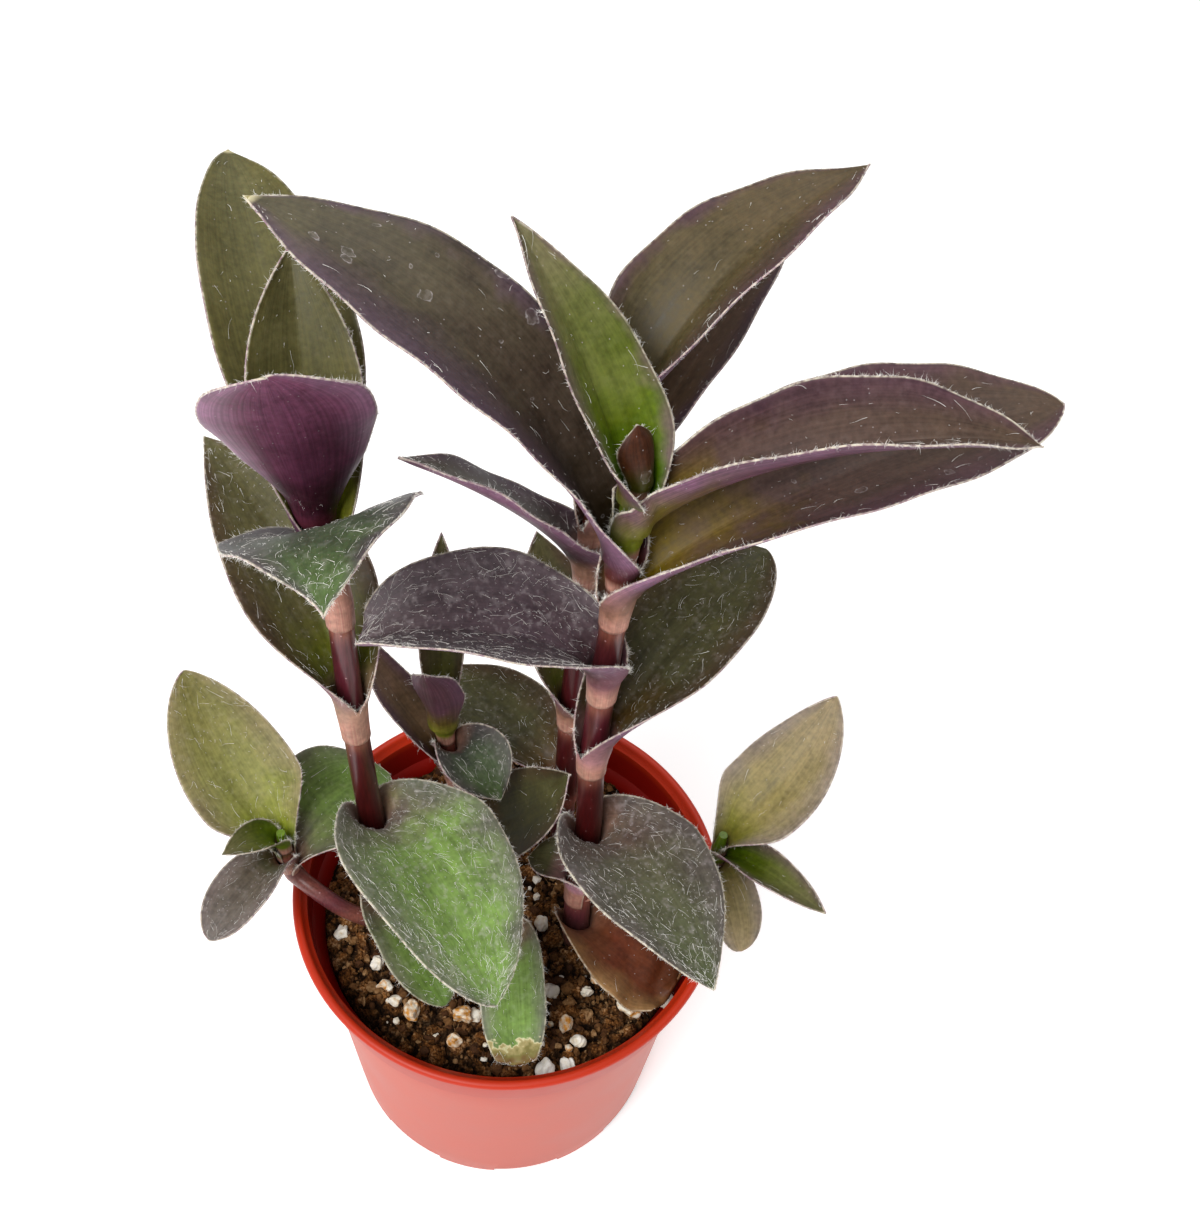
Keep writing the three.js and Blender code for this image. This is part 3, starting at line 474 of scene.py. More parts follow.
# ---- Materials ----
def node(tree, kind, inputs=None, stops=None, **settings):
    """Adds a node with its properties and colour stops. Each input is given a value, a socket
    or a node, whose first output it then takes."""
    made = tree.nodes.new(kind)
    for name, value in settings.items():
        setattr(made, name, value)
    for name, value in (inputs or {}).items():
        if isinstance(value, bpy.types.Node):
            value = value.outputs[0]
        if isinstance(value, bpy.types.NodeSocket):
            tree.links.new(value, made.inputs[name])
        else:
            made.inputs[name].default_value = value
    for index, (position, colour) in enumerate(stops or []):
        ramp = made.color_ramp.elements
        stop = ramp[index] if index < 2 else ramp.new(position)
        stop.position = position
        stop.color = linear(colour)
    return made


def finish(name, **constants):
    """A new material: its node tree, its shader and its coordinates in mm on the object."""
    material = bpy.data.materials.new(name)
    material.use_nodes = True
    tree = material.node_tree
    shader = tree.nodes["Principled BSDF"]
    for socket, value in constants.items():
        shader.inputs[socket.replace("_", " ")].default_value = value
    where = node(tree, "ShaderNodeTexCoord").outputs["Object"]
    millimetres = node(tree, "ShaderNodeMapping", {"Vector": where, "Scale": [1 / MM] * 3})
    return material, tree, shader, millimetres


def pot_finish(look):
    # Injection-moulded polypropylene: a clean red at the thick lip; the thin outer wall painted
    # paler in clouds as a sheen, and darker red towards the lip as a painted shadow under it; the
    # inner wall a darker red as painted shade; a satin gloss that comes and goes with the clouds.
    material, tree, shader, mm = finish(
        "moulded_red_polypropylene", IOR=1.49, Specular_IOR_Level=0.35, Subsurface_Weight=0.08,
        Subsurface_Scale=0.001)
    height = node(tree, "ShaderNodeSeparateXYZ", {0: mm}).outputs[2]
    inner = node(tree, "ShaderNodeAttribute", attribute_name="inner").outputs["Fac"]
    lip = node(tree, "ShaderNodeMapRange",
               {0: height, 1: RIM_HEIGHT - LIP_HEIGHT - 2.5, 2: RIM_HEIGHT - LIP_HEIGHT - 0.5})
    # the outer wall is painted paler in clouds a finger's width across, as a sheen, and a darker
    # red towards the lip, as a painted shadow under it
    cloud = node(tree, "ShaderNodeTexNoise", {"Vector": mm, "Scale": 0.06, "Detail": 4})
    film = node(tree, "ShaderNodeTexNoise", {"Vector": mm, "Scale": 0.9, "Detail": 3})
    # painted shadow under the lip: from below the collar up to the rim the outer wall turns a
    # darker red
    clean = node(tree, "ShaderNodeMapRange", {0: height, 1: COLLAR_BOTTOM - 14, 2: RIM_HEIGHT})
    # painted sheen: the outer wall turns paler in clouds
    painted_outer_wall = node(tree, "ShaderNodeMixRGB", {0: cloud, 1: look.wall_colour, 2: linear("#c45f4e")})
    painted_outer_wall = node(tree, "ShaderNodeMixRGB", {0: clean, 1: painted_outer_wall, 2: linear("#a8240c")})
    # painted shade: the inner wall is given a darker red
    walls = node(tree, "ShaderNodeMixRGB", {0: inner, 1: painted_outer_wall, 2: look.inside_colour})
    colour = node(tree, "ShaderNodeMixRGB", {0: lip, 1: walls, 2: look.lip_colour})
    tree.links.new(colour.outputs[0], shader.inputs["Base Color"])
    gloss = node(tree, "ShaderNodeMapRange", {0: cloud, 3: 0.36, 4: 0.54})
    tree.links.new(gloss.outputs[0], shader.inputs["Roughness"])
    bump = node(tree, "ShaderNodeBump", {"Height": film, "Strength": 0.12, "Distance": 0.1 * MM})
    tree.links.new(bump.outputs[0], shader.inputs["Normal"])
    return material


def peat_finish():
    # Damp peat and composted bark: dark and matt, patchy every few millimetres and grainy at half
    # a millimetre, with painted shade that darkens the gaps between its lumps.
    material, tree, shader, mm = finish("damp_peat", Roughness=0.95, Specular_IOR_Level=0.15)
    coarse = node(tree, "ShaderNodeTexNoise", {"Vector": mm, "Scale": 0.28, "Detail": 8})
    fine = node(tree, "ShaderNodeTexNoise", {"Vector": mm, "Scale": 1.8, "Detail": 4})
    blend = node(tree, "ShaderNodeMath", {0: coarse, 1: fine}, operation="MULTIPLY")
    tone = node(tree, "ShaderNodeValToRGB", {0: blend},
                stops=[(0.12, "#241004"), (0.4, "#c49a70"), (0.2, "#5a3616"), (0.28, "#86582c")])
    # painted shade: the gaps between the lumps are darkened to near black, and the lumps' tops
    # are lightened a little, as painted light
    raised = node(tree, "ShaderNodeAttribute", attribute_name="raised").outputs["Fac"]
    lit = node(tree, "ShaderNodeMapRange", {0: raised, 1: -1.2, 2: 0.5, 3: 0.12, 4: 1.1})
    colour = node(tree, "ShaderNodeVectorMath", {0: tone, 1: lit}, operation="MULTIPLY")
    tree.links.new(colour.outputs[0], shader.inputs["Base Color"])
    bump = node(tree, "ShaderNodeBump", {"Height": fine, "Strength": 0.9, "Distance": 0.7 * MM})
    tree.links.new(bump.outputs[0], shader.inputs["Normal"])
    return material


def crumb_finish(name, stops, roughness, patchy=0.5, grain=1.4):
    # Loose pieces whose shade differs from piece to piece, by the number kept on each, and from
    # patch to patch, by grains of so many to a millimetre.
    material, tree, shader, mm = finish(name, Roughness=roughness, Specular_IOR_Level=0.3)
    tint = node(tree, "ShaderNodeAttribute", attribute_name="tint").outputs["Fac"]
    fine = node(tree, "ShaderNodeTexNoise", {"Vector": mm, "Scale": grain, "Detail": 5})
    blend = node(tree, "ShaderNodeMath", {0: fine, 1: patchy, 2: tint}, operation="MULTIPLY_ADD")
    tone = node(tree, "ShaderNodeValToRGB", {0: blend}, stops=stops)
    tree.links.new(tone.outputs[0], shader.inputs["Base Color"])
    bump = node(tree, "ShaderNodeBump", {"Height": fine, "Strength": 0.6, "Distance": 0.3 * MM})
    tree.links.new(bump.outputs[0], shader.inputs["Normal"])
    return material


def stem_finish():
    # A succulent stem: glossy skin, dusty pink at the soil and near black above it, then wine red,
    # brown at the top and green at its young end, pale round each node, and streaked lengthwise.
    material, tree, shader, mm = finish("succulent_stem", Roughness=0.32,
                                        Subsurface_Weight=0.08, Subsurface_Scale=0.0012)
    height = node(tree, "ShaderNodeSeparateXYZ", {0: mm}).outputs[2]
    along = node(tree, "ShaderNodeMapRange", {0: height, 1: SOIL_LEVEL, 2: STEM_TOP})
    ramp = node(tree, "ShaderNodeValToRGB", {0: along},
                stops=[(0, "#604038"), (1, "#4a3010"), (0.1, "#68303a"), (0.2, "#3a0a08"),
                       (0.38, "#471012"), (0.6, "#501c26"), (0.8, "#48200e")])
    near = node(tree, "ShaderNodeAttribute", attribute_name="near_node").outputs["Fac"]
    pale = node(tree, "ShaderNodeMixRGB", {0: near, 1: ramp, 2: linear("#8e5546")})
    tip = node(tree, "ShaderNodeAttribute", attribute_name="near_tip").outputs["Fac"]
    pale = node(tree, "ShaderNodeMixRGB", {0: tip, 1: pale, 2: linear("#5e7a12")})
    stretched = node(tree, "ShaderNodeMapping", {"Vector": mm, "Scale": (2.2, 2.2, 0.12)})
    streaks = node(tree, "ShaderNodeTexNoise", {"Vector": stretched, "Scale": 1, "Detail": 4})
    shade = node(tree, "ShaderNodeMapRange", {0: streaks, 1: 0.3, 2: 0.7, 3: 0.72, 4: 1.28})
    colour = node(tree, "ShaderNodeVectorMath", {0: pale, 1: shade}, operation="MULTIPLY")
    # a few pale lenticels, a third of a millimetre across
    pores = node(tree, "ShaderNodeTexVoronoi", {"Vector": mm, "Scale": 0.4})
    pore = node(tree, "ShaderNodeMapRange", {0: pores.outputs["Distance"], 1: 0.1, 2: 0.05,
                                             3: 0, 4: 0.5})
    colour = node(tree, "ShaderNodeMixRGB", {0: pore, 1: colour, 2: linear("#d8a8a8")})
    tree.links.new(colour.outputs[0], shader.inputs["Base Color"])
    bump = node(tree, "ShaderNodeBump", {"Height": streaks, "Strength": 0.2, "Distance": 0.1 * MM})
    tree.links.new(bump.outputs[0], shader.inputs["Normal"])
    return material


def wool_finish(look):
    # Cobweb wool: dry white plant hair, matt and a little warm.
    material, tree, shader, mm = finish("cobweb_wool", Roughness=0.8)
    patches = node(tree, "ShaderNodeTexNoise", {"Vector": mm, "Scale": 0.4, "Detail": 2})
    colour = node(tree, "ShaderNodeMixRGB", {0: patches, 1: look.wool_colour, 2: linear("#e2dccc")})
    tree.links.new(colour.outputs[0], shader.inputs["Base Color"])
    return material


def face_colour(tree, tones, along, flank):
    """One face of a blade: its colour from base to tip, and the flanks' towards the margins."""
    base, middle, tip, side = TONES[tones]
    ramp = node(tree, "ShaderNodeValToRGB", {0: along},
                stops=[(0.06, base), (0.92, tip), (0.35, middle)])
    return node(tree, "ShaderNodeMixRGB", {0: flank, 1: ramp, 2: linear(side)})


def water_rings(tree, where, cell, radius, line, share):
    """Broken rings where drops dried: a mask of thin lines round a share of cells, sizes in mm."""
    cells = node(tree, "ShaderNodeTexVoronoi", {"Vector": where, "Scale": 1 / cell},
                 voronoi_dimensions="2D")
    off = node(tree, "ShaderNodeMath", {0: cells.outputs["Distance"], 1: radius / cell},
               operation="SUBTRACT")
    away = node(tree, "ShaderNodeMath", {0: off}, operation="ABSOLUTE")
    thin = node(tree, "ShaderNodeMapRange", {0: away, 1: line / cell, 2: 0, 3: 0, 4: 1})
    film = node(tree, "ShaderNodeMapRange", {0: off, 1: 0, 2: -line / cell, 3: 0, 4: 0.18})
    both = node(tree, "ShaderNodeMath", {0: thin, 1: film}, operation="MAXIMUM")
    chosen = node(tree, "ShaderNodeMath", {0: cells.outputs["Color"], 1: 1 - share},
                  operation="GREATER_THAN")
    return node(tree, "ShaderNodeMath", {0: both, 1: chosen}, operation="MULTIPLY")


def leaf_fields(tree, mm, leaf):
    """What a blade's finish reads at each point: its place on the blade, and its patterns."""
    surface = node(tree, "ShaderNodeUVMap", uv_map="UVMap")
    at = SimpleNamespace(across=node(tree, "ShaderNodeSeparateXYZ", {0: surface}))
    for name in ("arc", "margin", "under"):
        setattr(at, name, node(tree, "ShaderNodeAttribute", attribute_name=name).outputs["Fac"])
    at.share = node(tree, "ShaderNodeMath", {0: at.arc, 1: 1 / leaf["length"]},
                    operation="MULTIPLY")
    # patches some 8 mm wide shift every border, and smaller ones make it ragged
    at.patches = node(tree, "ShaderNodeTexNoise", {"Vector": mm, "Scale": 0.13, "Detail": 5})
    at.patch = node(tree, "ShaderNodeMath", {0: at.patches, 1: 0.5}, operation="SUBTRACT")
    stirred = node(tree, "ShaderNodeTexNoise", {"Vector": mm, "Scale": 0.6, "Detail": 2})
    at.stirred, at.stirred_ways = stirred, stirred.outputs["Color"]
    at.speckle = node(tree, "ShaderNodeTexNoise", {"Vector": mm, "Scale": 0.9, "Detail": 6})
    # veins run the length of the blade, half a millimetre apart, in bands of a few millimetres
    course = node(tree, "ShaderNodeCombineXYZ", {0: at.across, 1: at.share})
    for name, scale in (("veins", (leaf["width"] * 2, 1.5, 1)),
                        ("bands", (leaf["width"] * 0.4, 1.2, 1))):
        lines = node(tree, "ShaderNodeMapping", {"Vector": course, "Scale": scale})
        drawn = node(tree, "ShaderNodeTexNoise", {"Vector": lines, "Scale": 1, "Detail": 2},
                     noise_dimensions="2D")
        setattr(at, name, drawn)
    at.relief = node(tree, "ShaderNodeMath", {0: at.veins, 1: 0.5, 2: at.speckle},
                     operation="MULTIPLY_ADD")
    striped = node(tree, "ShaderNodeMath", {0: at.bands, 1: 0.5, 2: at.relief},
                   operation="MULTIPLY_ADD")
    at.grain = node(tree, "ShaderNodeMath", {0: at.patch, 1: 0.9, 2: striped},
                    operation="MULTIPLY_ADD")
    at.shade = node(tree, "ShaderNodeMapRange", {0: at.grain, 1: 0.65, 2: 1.35, 3: 0.66, 4: 1.34})
    return at


def blade_colour(tree, leaf, at):
    """The colours of both faces, with their flanks, streaks and veins."""
    along = node(tree, "ShaderNodeMath", {0: at.patch, 1: 0.5, 2: at.share},
                 operation="MULTIPLY_ADD")
    wander = node(tree, "ShaderNodeMath", {0: at.patch, 1: 0.35, 2: at.across},
                  operation="MULTIPLY_ADD")
    left_reach, right_reach = leaf["flanks"]
    left = node(tree, "ShaderNodeMapRange", {0: wander, 1: 0.08 + 0.5 * left_reach, 2: -0.02,
                                             3: 0, 4: 1})
    right = node(tree, "ShaderNodeMapRange", {0: wander, 1: 0.92 - 0.5 * right_reach, 2: 1.02,
                                              3: 0, 4: 1})
    flank = node(tree, "ShaderNodeMath", {0: left, 1: right}, operation="MAXIMUM")
    skin = node(tree, "ShaderNodeMixRGB", {0: at.under,
                                           1: face_colour(tree, leaf["upper"], along, flank),
                                           2: face_colour(tree, leaf["under"], along, flank)})
    skin = node(tree, "ShaderNodeVectorMath", {0: skin, 1: at.shade}, operation="MULTIPLY")
    # below, each vein shows as a darker line
    drawn = node(tree, "ShaderNodeMapRange", {0: at.veins, 1: 0.36, 2: 0.62, 3: 1.12, 4: 0.7})
    lined = node(tree, "ShaderNodeVectorMath", {0: skin, 1: drawn}, operation="MULTIPLY")
    return node(tree, "ShaderNodeMixRGB", {0: at.under, 1: skin, 2: lined})


def marks_and_wool_highlight(tree, leaf, at):
    """A mask of what lies on a face: dried water, lime, and a painted highlight where wool too fine
    to model shines.
    """
    # water marks, wavy, large and small, and specks of lime a fifth of a millimetre across
    breadth = node(tree, "ShaderNodeMath", {0: at.across, 1: leaf["width"]}, operation="MULTIPLY")
    flat = node(tree, "ShaderNodeCombineXYZ", {0: breadth, 1: at.arc})
    waved = node(tree, "ShaderNodeVectorMath", {0: at.stirred_ways, 1: (2, 2, 0), 2: flat},
                 operation="MULTIPLY_ADD")
    large = water_rings(tree, waved, 7, 1.1, 0.16, 0.3 * leaf["marks"])
    small = water_rings(tree, waved, 2.6, 0.4, 0.14, 0.16 * leaf["marks"])
    rings = node(tree, "ShaderNodeMath", {0: large, 1: small}, operation="MAXIMUM")
    broken = node(tree, "ShaderNodeMapRange", {0: at.speckle, 1: 0.4, 2: 0.6, 3: 0.08, 4: 0.7})
    rings = node(tree, "ShaderNodeMath", {0: rings, 1: broken}, operation="MULTIPLY")
    dots = node(tree, "ShaderNodeTexVoronoi", {"Vector": flat, "Scale": 0.8},
                voronoi_dimensions="2D")
    dot = node(tree, "ShaderNodeMapRange", {0: dots.outputs["Distance"], 1: 0.12, 2: 0.05, 3: 0,
                                            4: 0.6})
    seen = node(tree, "ShaderNodeMath",
                {0: dots.outputs["Color"], 1: 0.86 - 0.3 * leaf["wool"]}, operation="GREATER_THAN")
    specks = node(tree, "ShaderNodeMath", {0: dot, 1: seen}, operation="MULTIPLY")
    marks = node(tree, "ShaderNodeMath", {0: rings, 1: specks}, operation="MAXIMUM")
    # painted highlight: wool too fine to model shines on the face as a thin grey film, in spots one
    # or two mm across
    wool_highlight = node(tree, "ShaderNodeMapRange", {0: at.stirred, 1: 0.5, 2: 0.64, 3: 0,
                                              4: 0.45 * leaf["wool"]})
    film = node(tree, "ShaderNodeMath", {0: wool_highlight, 1: broken}, operation="MULTIPLY")
    return node(tree, "ShaderNodeMath", {0: marks, 1: film}, operation="ADD")


def sheath_colour(tree, leaf, at):
    """A thin sheath, tan to pink, with fine brown ribs, in the mouth's colour at its top."""
    ribs = node(tree, "ShaderNodeValToRGB", {0: at.veins},
                stops=[(0.3, "#cca48e"), (0.72, "#8c5c50")])
    blushed = node(tree, "ShaderNodeMixRGB", {0: at.patches, 1: ribs, 2: linear("#b47c6e")})
    opening = node(tree, "ShaderNodeMapRange", {0: at.arc, 1: -0.55 * leaf["sheath"], 2: 0.5})
    sheath = node(tree, "ShaderNodeMixRGB", {0: opening, 1: blushed, 2: linear(leaf["mouth"])})
    return node(tree, "ShaderNodeVectorMath", {0: sheath, 1: at.shade}, operation="MULTIPLY")


def dead_tip(tree, leaf, at, skin):
    """The tip dies back: a thin ragged cream border, then papery brown."""
    border = 1 - 0.55 * leaf["dead"] if leaf["dead"] else 2
    ragged = node(tree, "ShaderNodeMath", {0: at.stirred, 1: 0.9 * leaf["dead"], 2: at.share},
                  operation="MULTIPLY_ADD")
    withered = node(tree, "ShaderNodeMath", {0: at.patch, 1: 1.4 * leaf["dead"], 2: ragged},
                    operation="MULTIPLY_ADD")
    past = node(tree, "ShaderNodeMapRange", {0: withered, 1: border,
                                             2: border + 0.7 * leaf["dead"] + 0.01})
    dried = node(tree, "ShaderNodeValToRGB", {0: past},
                 stops=[(0, "#dcd2a8"), (1, "#6a4c2a"), (0.1, "#a89a68"), (0.4, "#7c7440")])
    dying = node(tree, "ShaderNodeMapRange", {0: withered, 1: border - 0.015, 2: border + 0.005})
    return node(tree, "ShaderNodeMixRGB", {0: dying, 1: skin, 2: dried})


def leaf_finish(leaf):
    # A fleshy blade: satin skin over parallel veins, wine-red below, with a pale woolly margin,
    # dried rings where water stood, and a finely striped sheath.
    material, tree, shader, mm = finish(
        f"leaf_skin_{leaf['name']}", Subsurface_Weight=0.06, Subsurface_Scale=0.0006,
        Specular_IOR_Level=0.2, Sheen_Weight=0.06 * leaf["wool"], Sheen_Roughness=0.5)
    at = leaf_fields(tree, mm, leaf)
    # pale grey for dried water and lime, and for the painted highlight of fine wool
    skin = node(tree, "ShaderNodeMixRGB", {0: marks_and_wool_highlight(tree, leaf, at),
                                           1: blade_colour(tree, leaf, at),
                                           2: linear("#b0a8a8")})
    opened = node(tree, "ShaderNodeMapRange", {0: at.arc, 1: -0.5, 2: 6})
    skin = node(tree, "ShaderNodeMixRGB", {0: opened, 1: sheath_colour(tree, leaf, at), 2: skin})
    skin = dead_tip(tree, leaf, at, skin)
    # the margin is a thin broken line without colour, under its wool
    edge = node(tree, "ShaderNodeMapRange", {0: at.margin, 1: 0.36, 2: 0.1, 3: 0,
                                             4: 0.35 + 0.5 * leaf["fringe"]})
    worn = node(tree, "ShaderNodeMapRange", {0: at.speckle, 1: 0.38, 2: 0.6, 3: 0.2, 4: 1})
    rim = node(tree, "ShaderNodeMath", {0: edge, 1: worn}, operation="MULTIPLY")
    colour = node(tree, "ShaderNodeMixRGB", {0: rim, 1: skin, 2: linear("#e0d8c2")})
    tree.links.new(colour.outputs[0], shader.inputs["Base Color"])
    rough = node(tree, "ShaderNodeMapRange", {0: at.grain, 1: 0.65, 2: 1.35, 3: 0.38, 4: 0.56})
    tree.links.new(rough.outputs[0], shader.inputs["Roughness"])
    bump = node(tree, "ShaderNodeBump", {"Height": at.relief, "Strength": 0.3,
                                         "Distance": 0.12 * MM})
    tree.links.new(bump.outputs[0], shader.inputs["Normal"])
    return material


# ---- Forms of stems and leaves ----
def stem_at(stem, height):
    """The centre and radius of a stem at heights that its line passes through once."""
    line = np.array(STEMS[stem])
    first = max([i for i in range(len(line) - 1) if line[i][2] < np.min(height)] or [0])
    rising = line[first:]
    return [np.interp(height, rising[:, 2], rising[:, k]) for k in (0, 1, 3)]


def sheath_radius(radius):
    """Radius of a sheath's mouth round a stem of a radius."""
    return SHEATH_FACTOR * radius + SHEATH_CLEARANCE


def bent_clear(points, leaf):
    """Pushes points of a blade out of the upright stems and of the other leaves' sheaths."""
    for stem in UPRIGHT_STEMS:
        line = np.array(STEMS[stem])
        height = points[..., 2]
        beside = (height > line[0, 2]) & (height < line[-1, 2])
        x, y, radius = [np.interp(height, line[:, 2], line[:, k]) for k in (0, 1, 3)]
        needed = radius + LEAF_THICKNESS / 2 + GAP
        for other in LEAVES:
            if other["stem"] != stem or other["name"] == leaf["name"]:
                continue
            above = height - other["node"]
            near = smoothstep(above, -other["sheath"] - 2.5, -other["sheath"] - 1)
            near = near * smoothstep(above, NECK_LENGTH + 2, NECK_LENGTH)
            spread = NECK_SPREAD * np.clip(above, 0, NECK_LENGTH)
            ring = sheath_radius(radius) + LEAF_THICKNESS + GAP + spread
            needed = np.maximum(needed, near * ring)
        outward = points[..., :2] - np.stack([x, y], -1)
        distance = np.linalg.norm(outward, axis=-1)
        needed = np.where(beside, needed * POLYGON_ALLOWANCE, 0)
        factor = np.maximum(1, needed / np.maximum(distance, 1e-6))
        points[..., :2] = np.stack([x, y], -1) + outward * factor[..., None]
    if leaf["in_pot"]:
        from_axis = np.linalg.norm(points[..., :2], axis=-1)
        points[..., :2] *= np.minimum(1, LEANING_RADIUS / from_axis)[..., None]
    return points


def half_width(leaf, girth, s):
    """Half the blade's width at shares s of its length, from half the girth of its base."""
    half = leaf["width"] / 2
    rising = girth + (half - girth) * smoothstep(s, 0, leaf["widest"])
    past = np.clip((s - leaf["widest"]) / (1 - leaf["widest"]), 0, 1)
    return np.where(s < leaf["widest"], rising, half * (1 - past * past) ** leaf["blunt"])


def leaf_midrib(leaf, look, start):
    """The midrib from its node: share of its length, points, direction and heading of each row."""
    s = np.arange(LEAF_STEPS + 1) / LEAF_STEPS
    bend = math.radians(leaf["heading"]) + np.radians(leaf["turn"] * s)
    rise = leaf["rise"][0] + (leaf["rise"][1] - leaf["rise"][0]) * s
    slope = rise + (90 - leaf["rise"][0]) * np.exp(-s * leaf["length"] / NECK_LENGTH)
    slope = np.radians(slope)
    along = np.stack([np.cos(slope) * np.cos(bend), np.cos(slope) * np.sin(bend),
                      np.sin(slope)], -1)
    steps = along * leaf["length"] / LEAF_STEPS
    steps[0] = start
    midrib = np.cumsum(steps, 0)
    count = max(LEAST_ROWS, round(leaf["length"] / look.row_step))
    rows = 1 - (1 - np.linspace(0, 1, count + 1)) ** ROW_CROWDING
    midrib = np.stack([np.interp(rows, s, midrib[:, k]) for k in range(3)], -1)
    along = unit(np.stack([np.interp(rows, s, along[:, k]) for k in range(3)], -1))
    return rows, midrib, along, np.interp(rows, s, bend)


def leaf_sheath(leaf, t, facing, side):
    """The sheath, slim below and as wide as the blade's base at its mouth, without its top row."""
    depth = leaf["fold"] or leaf["sheath"]
    drops = np.linspace(depth, 0, max(4, round(depth / SHEATH_ROW)) + 1)[:-1]
    x, y, radius = stem_at(leaf["stem"], leaf["node"] - drops)
    factor, added = SLIM_SHEATH
    slim = radius * factor + added
    # it widens little at first
    rings = slim + (sheath_radius(radius) - slim) * (1 - drops / depth) ** 1.6
    centres = np.stack([x, y, leaf["node"] - drops], -1)
    hold = math.radians(leaf["hold"])
    round_stem = facing * np.cos(hold * t)[:, None] + side * np.sin(hold * t)[:, None]
    return drops, rings, centres[:, None] + rings[:, None, None] * round_stem


def leaf_surface(leaf, look):
    """The blade's middle surface with its sheath: points, arc length and half width of each row."""
    x, y, radius = stem_at(leaf["stem"], leaf["node"])
    ring = sheath_radius(radius)
    hold = math.radians(leaf["hold"])
    heading = math.radians(leaf["heading"])
    facing = np.array([math.cos(heading), math.sin(heading), 0])
    side = np.array([-math.sin(heading), math.cos(heading), 0])
    t = np.linspace(1, -1, look.columns + 1)
    rows, midrib, along, bend = leaf_midrib(leaf, look,
                                            np.array([x, y, leaf["node"]]) + facing * ring)
    arc = rows * leaf["length"]
    opened = 1 - np.exp(-arc / leaf["unroll"])
    lean = math.radians(leaf["roll"]) * (1 - np.exp(-arc / (2 * leaf["unroll"])))
    level = np.stack([-np.sin(bend), np.cos(bend), 0 * bend], -1)
    left = level * np.cos(lean)[:, None] + np.cross(along, level) * np.sin(lean)[:, None]
    up = np.cross(along, left)
    # the cross-section closes round the stem at the node, then opens to its cup
    open_cup = np.radians(leaf["cup"][0] + (leaf["cup"][1] - leaf["cup"][0]) * rows)
    cup = hold + (open_cup - hold) * opened
    crease = cup * leaf["crease"] * opened
    curve = cup - crease
    width = half_width(leaf, hold * ring, rows)
    angle = crease[:, None] + curve[:, None] * np.abs(t)
    sideways = (np.sin(angle) - np.sin(crease)[:, None]) / curve[:, None]
    upward = (np.cos(crease)[:, None] - np.cos(angle)) / curve[:, None]
    # margins wave by a fraction of a millimetre, each in its own rhythm
    seed = sum(map(ord, leaf["name"]))
    phase = np.where(t > 0, seed, 2.3 * seed)
    wave = WAVE_HEIGHT * smoothstep(arc, *WAVE_START)[:, None] * np.abs(t) ** 3
    wave = wave * np.sin(arc[:, None] / np.where(t > 0, *WAVE_LENGTHS) + phase)
    points = midrib[:, None] + left[:, None] * (np.sign(t) * width[:, None] * sideways)[..., None]
    points = points + up[:, None] * (width[:, None] * upward + wave)[..., None]
    if leaf["crumple"]:
        first, second, third = [arc[:, None] / length for length in CRUMPLE_LENGTHS]
        folds = np.sin(first + 2.6 * t + seed) * np.sin(second - 4.1 * t)
        folds = folds + 0.5 * np.sin(third + 5 * t)
        growing = leaf["crumple"] * smoothstep(arc, 4, leaf["length"])[:, None]
        points = points + up[:, None] * (growing * folds)[..., None]
    points[1:] = bent_clear(points[1:], leaf)
    drops, rings, sheath = leaf_sheath(leaf, t, facing, side)
    return (np.concatenate([sheath, points]), np.concatenate([-drops, arc]),
            np.concatenate([hold * rings, width]))


def grid_normals(points):
    """The upward normal at each point of a blade's grid."""
    along = np.gradient(points, axis=0)
    across = np.gradient(points, axis=1)
    return unit(np.cross(across, along))


def make_leaf(leaf, look):
    """One leaf: a grid bent to its surface, its doubled points merged, then given a thickness."""
    points, arc, width = leaf_surface(leaf, look)
    rows, columns = points.shape[0] - 1, points.shape[1] - 1
    deselect()
    bpy.ops.mesh.primitive_grid_add(x_subdivisions=columns, y_subdivisions=rows, size=1,
                                    calc_uvs=True)
    piece = bpy.context.object
    piece.name = f"{leaf['name']}_blade"
    mesh = piece.data
    flat = np.empty(len(mesh.vertices) * 3)
    mesh.vertices.foreach_get("co", flat)
    flat = flat.reshape(-1, 3) + 0.5
    column = np.rint(flat[:, 0] * columns).astype(int)
    row = np.rint(flat[:, 1] * rows).astype(int)
    mesh.vertices.foreach_set("co", (points[row, column] * MM).ravel())
    t = np.abs(1 - 2 * column / columns)
    closed = (leaf["hold"] == 180) & (arc[row] < 0.01)
    store(piece, "arc", "POINT", arc[row])
    store(piece, "margin", "POINT", np.where(closed, NO_MARGIN, (1 - t) * width[row]))
    body = piece.vertex_groups.new(name="body")
    full = smoothstep((1 - t) * width[row], 0, THIN_MARGIN) * smoothstep(arc[row], *THICKENING)
    for index, value in enumerate(full):
        body.add([index], float(value), "REPLACE")
    bpy.ops.object.mode_set(mode="EDIT")
    bpy.ops.mesh.select_all(action="SELECT")
    bpy.ops.mesh.remove_doubles(threshold=MERGE_DISTANCE * MM)
    bpy.ops.object.mode_set(mode="OBJECT")
    faces = len(mesh.polygons)
    apply_modifier(piece, "SOLIDIFY", thickness=LEAF_THICKNESS * MM, offset=0,
                   vertex_group="body", thickness_vertex_group=MARGIN_SHARE)
    index = np.arange(len(piece.data.polygons))
    store(piece, "under", "FACE", (index >= faces).astype(float))
    bpy.ops.object.shade_smooth()
    piece.data.materials.append(leaf_finish(leaf))
    place(piece, leaf["slot"], leaf["name"])
    return points, arc, width


